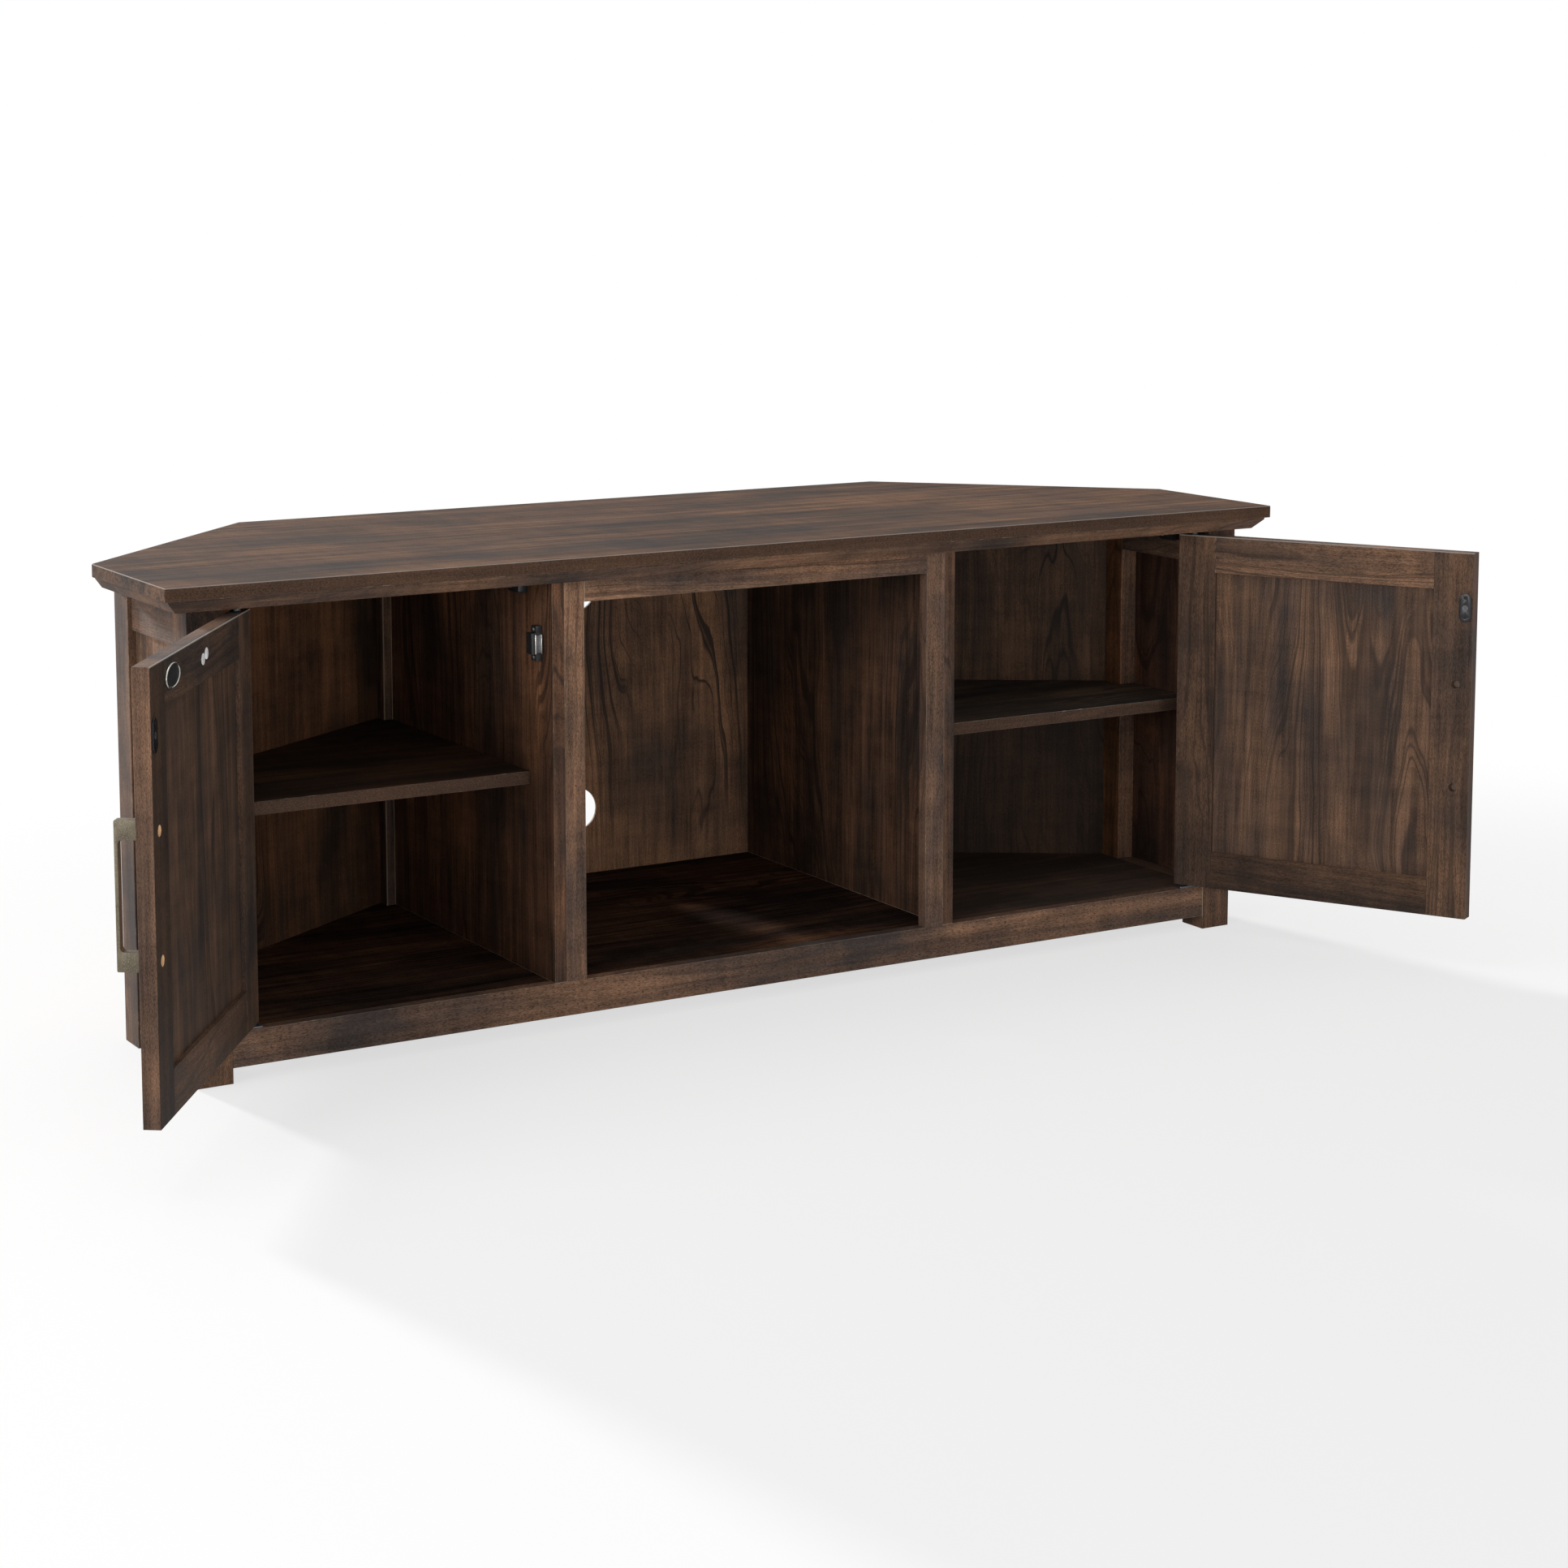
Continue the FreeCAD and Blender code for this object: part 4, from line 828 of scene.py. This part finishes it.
# One screw per point, its axis along the point's "facing" value; sizes are the tree's inputs.
def makeScrewTree():
    tree = bpy.data.node_groups.new("screws on points", "GeometryNodeTree")
    face = tree.interface
    face.new_socket("Points", in_out="INPUT", socket_type="NodeSocketGeometry")
    for label in screwSizes:
        face.new_socket(label, in_out="INPUT", socket_type="NodeSocketFloat")
    face.new_socket("Finish", in_out="INPUT", socket_type="NodeSocketMaterial")
    face.new_socket("Screws", in_out="OUTPUT", socket_type="NodeSocketGeometry")
    given = tree.nodes.new("NodeGroupInput").outputs
    end = tree.nodes.new("NodeGroupOutput").inputs
    headSides, shankSides = screwShape["headSides"], screwShape["shankSides"]

    def cone(low, high, depth, sides):
        return put(tree, "GeometryNodeMeshCone", {"Vertices": sides, "Radius Bottom": low,
                                                  "Radius Top": high, "Depth": depth}).outputs[0]

    def lifted(geometry, height):
        offset = put(tree, "ShaderNodeCombineXYZ", {2: height}).outputs[0]
        return put(tree, "GeometryNodeTransform",
                   {"Geometry": geometry, "Translation": offset}).outputs[0]

    crown = cone(given["Face Radius"], given["Rim Radius"], given["Face Height"], headSides)
    collar = cone(given["Rim Radius"], given["Neck Radius"], given["Neck Height"], headSides)
    collar = lifted(collar, given["Face Height"])
    headDepth = maths(tree, "ADD", given["Face Height"], given["Neck Height"])
    shank = cone(given["Shank Radius"], given["Shank Radius"], given["Shank Length"], shankSides)
    shank = lifted(shank, headDepth)
    point = cone(given["Shank Radius"], screwShape["pointRadius"], given["Point Length"],
                 shankSides)
    point = lifted(point, maths(tree, "ADD", headDepth, given["Shank Length"]))
    slotLength = times(tree, given["Face Radius"], screwShape["crossReach"])
    slotHeight = times(tree, given["Slot Depth"], 2.0)
    slots = []
    for turned in (False, True):
        sizeX = given["Slot Width"] if turned else slotLength
        sizeY = slotLength if turned else given["Slot Width"]
        size = put(tree, "ShaderNodeCombineXYZ", {0: sizeX, 1: sizeY, 2: slotHeight}).outputs[0]
        slots.append(put(tree, "GeometryNodeMeshCube", {"Size": size}).outputs[0])
    cut = put(tree, "GeometryNodeMeshBoolean", {0: crown}, operation="DIFFERENCE")
    for slot in slots:
        tree.links.new(slot, cut.inputs[1])
    joined = tree.nodes.new("GeometryNodeJoinGeometry")
    for part in (cut.outputs[0], collar, shank, point):
        tree.links.new(part, joined.inputs[0])
    facing = put(tree, "GeometryNodeInputNamedAttribute", {"Name": "facing"},
                 data_type="FLOAT_VECTOR").outputs[0]
    turn = put(tree, "FunctionNodeAlignRotationToVector", {"Vector": facing}, axis="Z").outputs[0]
    placed = put(tree, "GeometryNodeInstanceOnPoints",
                 {"Points": given["Points"], "Instance": joined.outputs[0], "Rotation": turn})
    real = put(tree, "GeometryNodeRealizeInstances", {"Geometry": placed.outputs[0]}).outputs[0]
    finished = put(tree, "GeometryNodeSetMaterial",
                   {"Geometry": real, "Material": given["Finish"]}).outputs[0]
    tree.links.new(finished, end["Screws"])
    return tree


screwTree = makeScrewTree()


def screws(nodeName, name, body, finish, kind):
    sizes = dict(zip(screwSizes, screwKinds[kind]))
    spots = [screwAxis(points) for points in looseParts(nodeName)]
    mesh = bpy.data.meshes.new(name + "Points")
    mesh.from_pydata([tuple(spot) for spot, way in spots], [], [])
    facing = mesh.attributes.new("facing", "FLOAT_VECTOR", "POINT")
    for number, (spot, way) in enumerate(spots):
        facing.data[number].vector = way
    carrier = linked(name + "Raw", mesh)
    modifier = carrier.modifiers.new("screws", "NODES")
    modifier.node_group = screwTree
    for item in screwTree.interface.items_tree:
        if item.name in sizes:
            modifier[item.identifier] = sizes[item.name] * mm
        elif item.name == "Finish":
            modifier[item.identifier] = finish
    return settled(carrier, name, body, (nodeName,), finish)


# Screws that are darker than their neighbours, told by where they are, in metres.
catchScrews = {"low": 0.42, "high": 0.47, "outside": 0.26, "front": -0.17}
strikeScrewFloor = 0.4  # the strike plate's screw stands above this height, handle screws below
pivotSteel = finishes["pivot steel dull"]
piece = screws("case_screws", "caseScrews", "cabinet", finishes["zinc bright"],
               "pan")
repainted(piece, pivotSteel, lambda spot: catchScrews["low"] < spot.z < catchScrews["high"]
          and abs(spot.x) > catchScrews["outside"] and spot.y < catchScrews["front"])
screws("hinge_screws", "hingeScrews", "cabinet", pivotSteel, "small flat")
for side, finish in (("left", "bare particle core"), ("right", "cap brown")):
    body = side + "_door"
    piece = screws(body + "_screws", side + "DoorScrews", body, finishes[finish],
                   "flat")
    repainted(piece, pivotSteel, lambda spot: spot.z > strikeScrewFloor)
dress("shelf_pins", finishes["zinc bright"])
print("screws placed")

# The blank oval badge: a dark dished face in a rolled bright rim, in the left door's drawing.
# The profile runs from the outside in, as shares of the half length and of the height.
badge = {
    "centre": (292.0, doorDrawing["innerFace"], 493.75),
    "halfLong": 25.0, "halfHigh": 12.9, "height": 1.8, "around": 72,
    "profile": [(1.0, 0.0), (1.0, 0.55), (0.985, 0.85), (0.965, 0.97), (0.948, 1.0),
                (0.930, 0.97), (0.918, 0.86), (0.910, 0.62), (0.80, 0.60), (0.45, 0.66),
                (0.0, 0.70)],
    "dishFrom": 0.9,  # from here in, the rings shrink in proportion
    "darkFrom": 7,  # the first band of faces that is the dark face and not the rim
}


def badgeRing(shape, out, high):
    cx, cy, cz = badge["centre"]
    inset = (1.0 - out) * badge["halfLong"]
    long, tall = badge["halfLong"] - inset, badge["halfHigh"] - inset
    if out < badge["dishFrom"]:
        long, tall = badge["halfLong"] * out, badge["halfHigh"] * out
    ring = []
    for step in range(badge["around"]):
        angle = 2 * math.pi * step / badge["around"]
        ring.append(shape.verts.new((cx + long * math.cos(angle), cy + badge["height"] * high,
                                     cz + tall * math.sin(angle))))
    return ring


def makeBadge():
    cx, cy, cz = badge["centre"]
    around = badge["around"]
    shape = bmesh.new()
    rings = [badgeRing(shape, out, high) for out, high in badge["profile"][:-1]]
    for lower, upper in zip(rings, rings[1:]):
        for step in range(around):
            following = (step + 1) % around
            shape.faces.new((lower[step], lower[following], upper[following], upper[step]))
    top = shape.verts.new((cx, cy + badge["height"] * badge["profile"][-1][1], cz))
    bottom = shape.verts.new((cx, cy, cz))
    for step in range(around):
        following = (step + 1) % around
        shape.faces.new((rings[-1][step], rings[-1][following], top))
        shape.faces.new((rings[0][following], rings[0][step], bottom))
    bmesh.ops.recalc_face_normals(shape, faces=shape.faces)
    place = doorPlaces["left"]
    turn = Matrix.Translation(place["pivot"]) @ Matrix.Rotation(math.radians(place["turn"]), 4, "Z")
    shape.transform(turn @ Matrix.Scale(mm, 4))
    mesh = bpy.data.meshes.new("leftDoorBadge")
    shape.to_mesh(mesh)
    shape.free()
    mesh.materials.append(finishes["badge rim bright"])
    mesh.materials.append(finishes["badge face dark"])
    dark, caps = badge["darkFrom"] * around, (len(rings) - 1) * around
    for face in mesh.polygons:
        face.use_smooth = True
        inside = dark <= face.index < caps
        cap = face.index >= caps and (face.index - caps) % 2 == 0
        face.material_index = 1 if inside or cap else 0
    piece = linked("leftDoorBadge", mesh)
    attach(piece, "left_door")
    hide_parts("left_door_badge")


makeBadge()
print("badge made")

# Stage: a pale floor that fades to white far off, soft boxes and one low light from behind.
stage = {"diffuse": (0.27, 0.27, 0.27, 1.0), "bounce": (0.78, 0.78, 0.78, 1.0), "lift": 0.675,
         "ambient": 0.32, "centre": (0.1, -0.7, 0.0), "fade": (1.2, 2.1), "half": 60.0,
         "rough": 0.9}
lamps = {
    "frontSoftbox": {"at": (-1.6, -4.2, 1.3), "size": 2.0, "power": 9.0},
    "frontLowBox": {"at": (0.0, -4.0, 0.4), "size": 0.7, "power": 19.0},
    "topSoftbox": {"at": (-0.6, 0.6, 3.2), "size": 2.4, "power": 35.0},
    "leftSoftbox": {"at": (-3.6, 0.2, 1.3), "size": 1.6, "power": 28.0},
    "leftFrontBox": {"at": (-4.2, -2.0, 1.4), "size": 1.4, "power": 56.0},
}
lampAim = Vector((0.0, 0.0, 0.3))
lowLight = {"way": (0.16, -0.96, -0.24), "spreadAngle": 6.0, "power": 4.6}


def rayShow(tree):
    path = put(tree, "ShaderNodeLightPath").outputs
    seen = maths(tree, "MAXIMUM", path["Is Camera Ray"], path["Is Glossy Ray"])
    return maths(tree, "MAXIMUM", seen, path["Is Transmission Ray"])


def makeFloor():
    mesh = bpy.data.meshes.new("studioFloor")
    half = stage["half"]
    mesh.from_pydata([(-half, -half, 0), (half, -half, 0), (half, half, 0), (-half, half, 0)], [],
                     [(0, 1, 2, 3)])
    floor = linked("studioFloor", mesh)
    material, tree, surface = newMaterial("pale floor")
    seen = rayShow(tree)
    place = put(tree, "ShaderNodeTexCoord").outputs["Object"]
    away = put(tree, "ShaderNodeVectorMath", {0: place, 1: stage["centre"]},
               operation="DISTANCE").outputs["Value"]
    far = spread(tree, away, stage["fade"], smooth=True)
    shown = blendColour(tree, far, stage["diffuse"], (0.0, 0.0, 0.0, 1.0))
    colour = blendColour(tree, seen, stage["bounce"], shown)
    tree.links.new(colour, surface.inputs["Base Color"])
    surface.inputs["Roughness"].default_value = stage["rough"]
    surface.inputs["Specular IOR Level"].default_value = 0.0
    surface.inputs["Emission Color"].default_value = (1, 1, 1, 1)
    lift = spread(tree, far, (0.0, 1.0), (stage["lift"], 1.0))
    tree.links.new(times(tree, seen, lift), surface.inputs["Emission Strength"])
    mesh.materials.append(material)


def makeWorld():
    world = bpy.data.worlds.new("studio")
    scene.world = world
    world.use_nodes = True
    tree = world.node_tree
    back = tree.nodes["Background"]
    back.inputs["Color"].default_value = (1, 1, 1, 1)
    strength = spread(tree, rayShow(tree), (0.0, 1.0), (stage["ambient"], 1.0))
    tree.links.new(strength, back.inputs["Strength"])


def hungLight(name, kind, power, way):
    light = bpy.data.lights.new(name, kind)
    light.energy = power
    holder = linked(name, light)
    holder.rotation_euler = way.to_track_quat("-Z", "Y").to_euler()
    return light, holder


def makeLights():
    for name, lamp in lamps.items():
        light, holder = hungLight(name, "AREA", lamp["power"], lampAim - Vector(lamp["at"]))
        light.size = lamp["size"]
        holder.location = lamp["at"]
    low, holder = hungLight("lowLight", "SUN", lowLight["power"], Vector(lowLight["way"]))
    low.angle = math.radians(lowLight["spreadAngle"])


makeFloor()
makeWorld()
makeLights()

# Metres, degrees to the right and down, millimetres of lens and sensor.
camera = {"at": (-1.8672, -3.3846, 1.0097), "turn": 30.998, "dip": 7.309, "lens": 72.98,
          "sensor": 36.0, "shiftUp": -0.15}


def makeCamera():
    data = bpy.data.cameras.new("camera")
    data.sensor_width = camera["sensor"]
    data.lens = camera["lens"]
    data.shift_y = camera["shiftUp"]
    holder = linked("camera", data)
    holder.location = camera["at"]
    holder.rotation_euler = (math.radians(90.0 - camera["dip"]), 0.0,
                             math.radians(-camera["turn"]))
    scene.camera = holder


makeCamera()
scene.view_settings.view_transform = "Standard"
print("stage and camera ready")
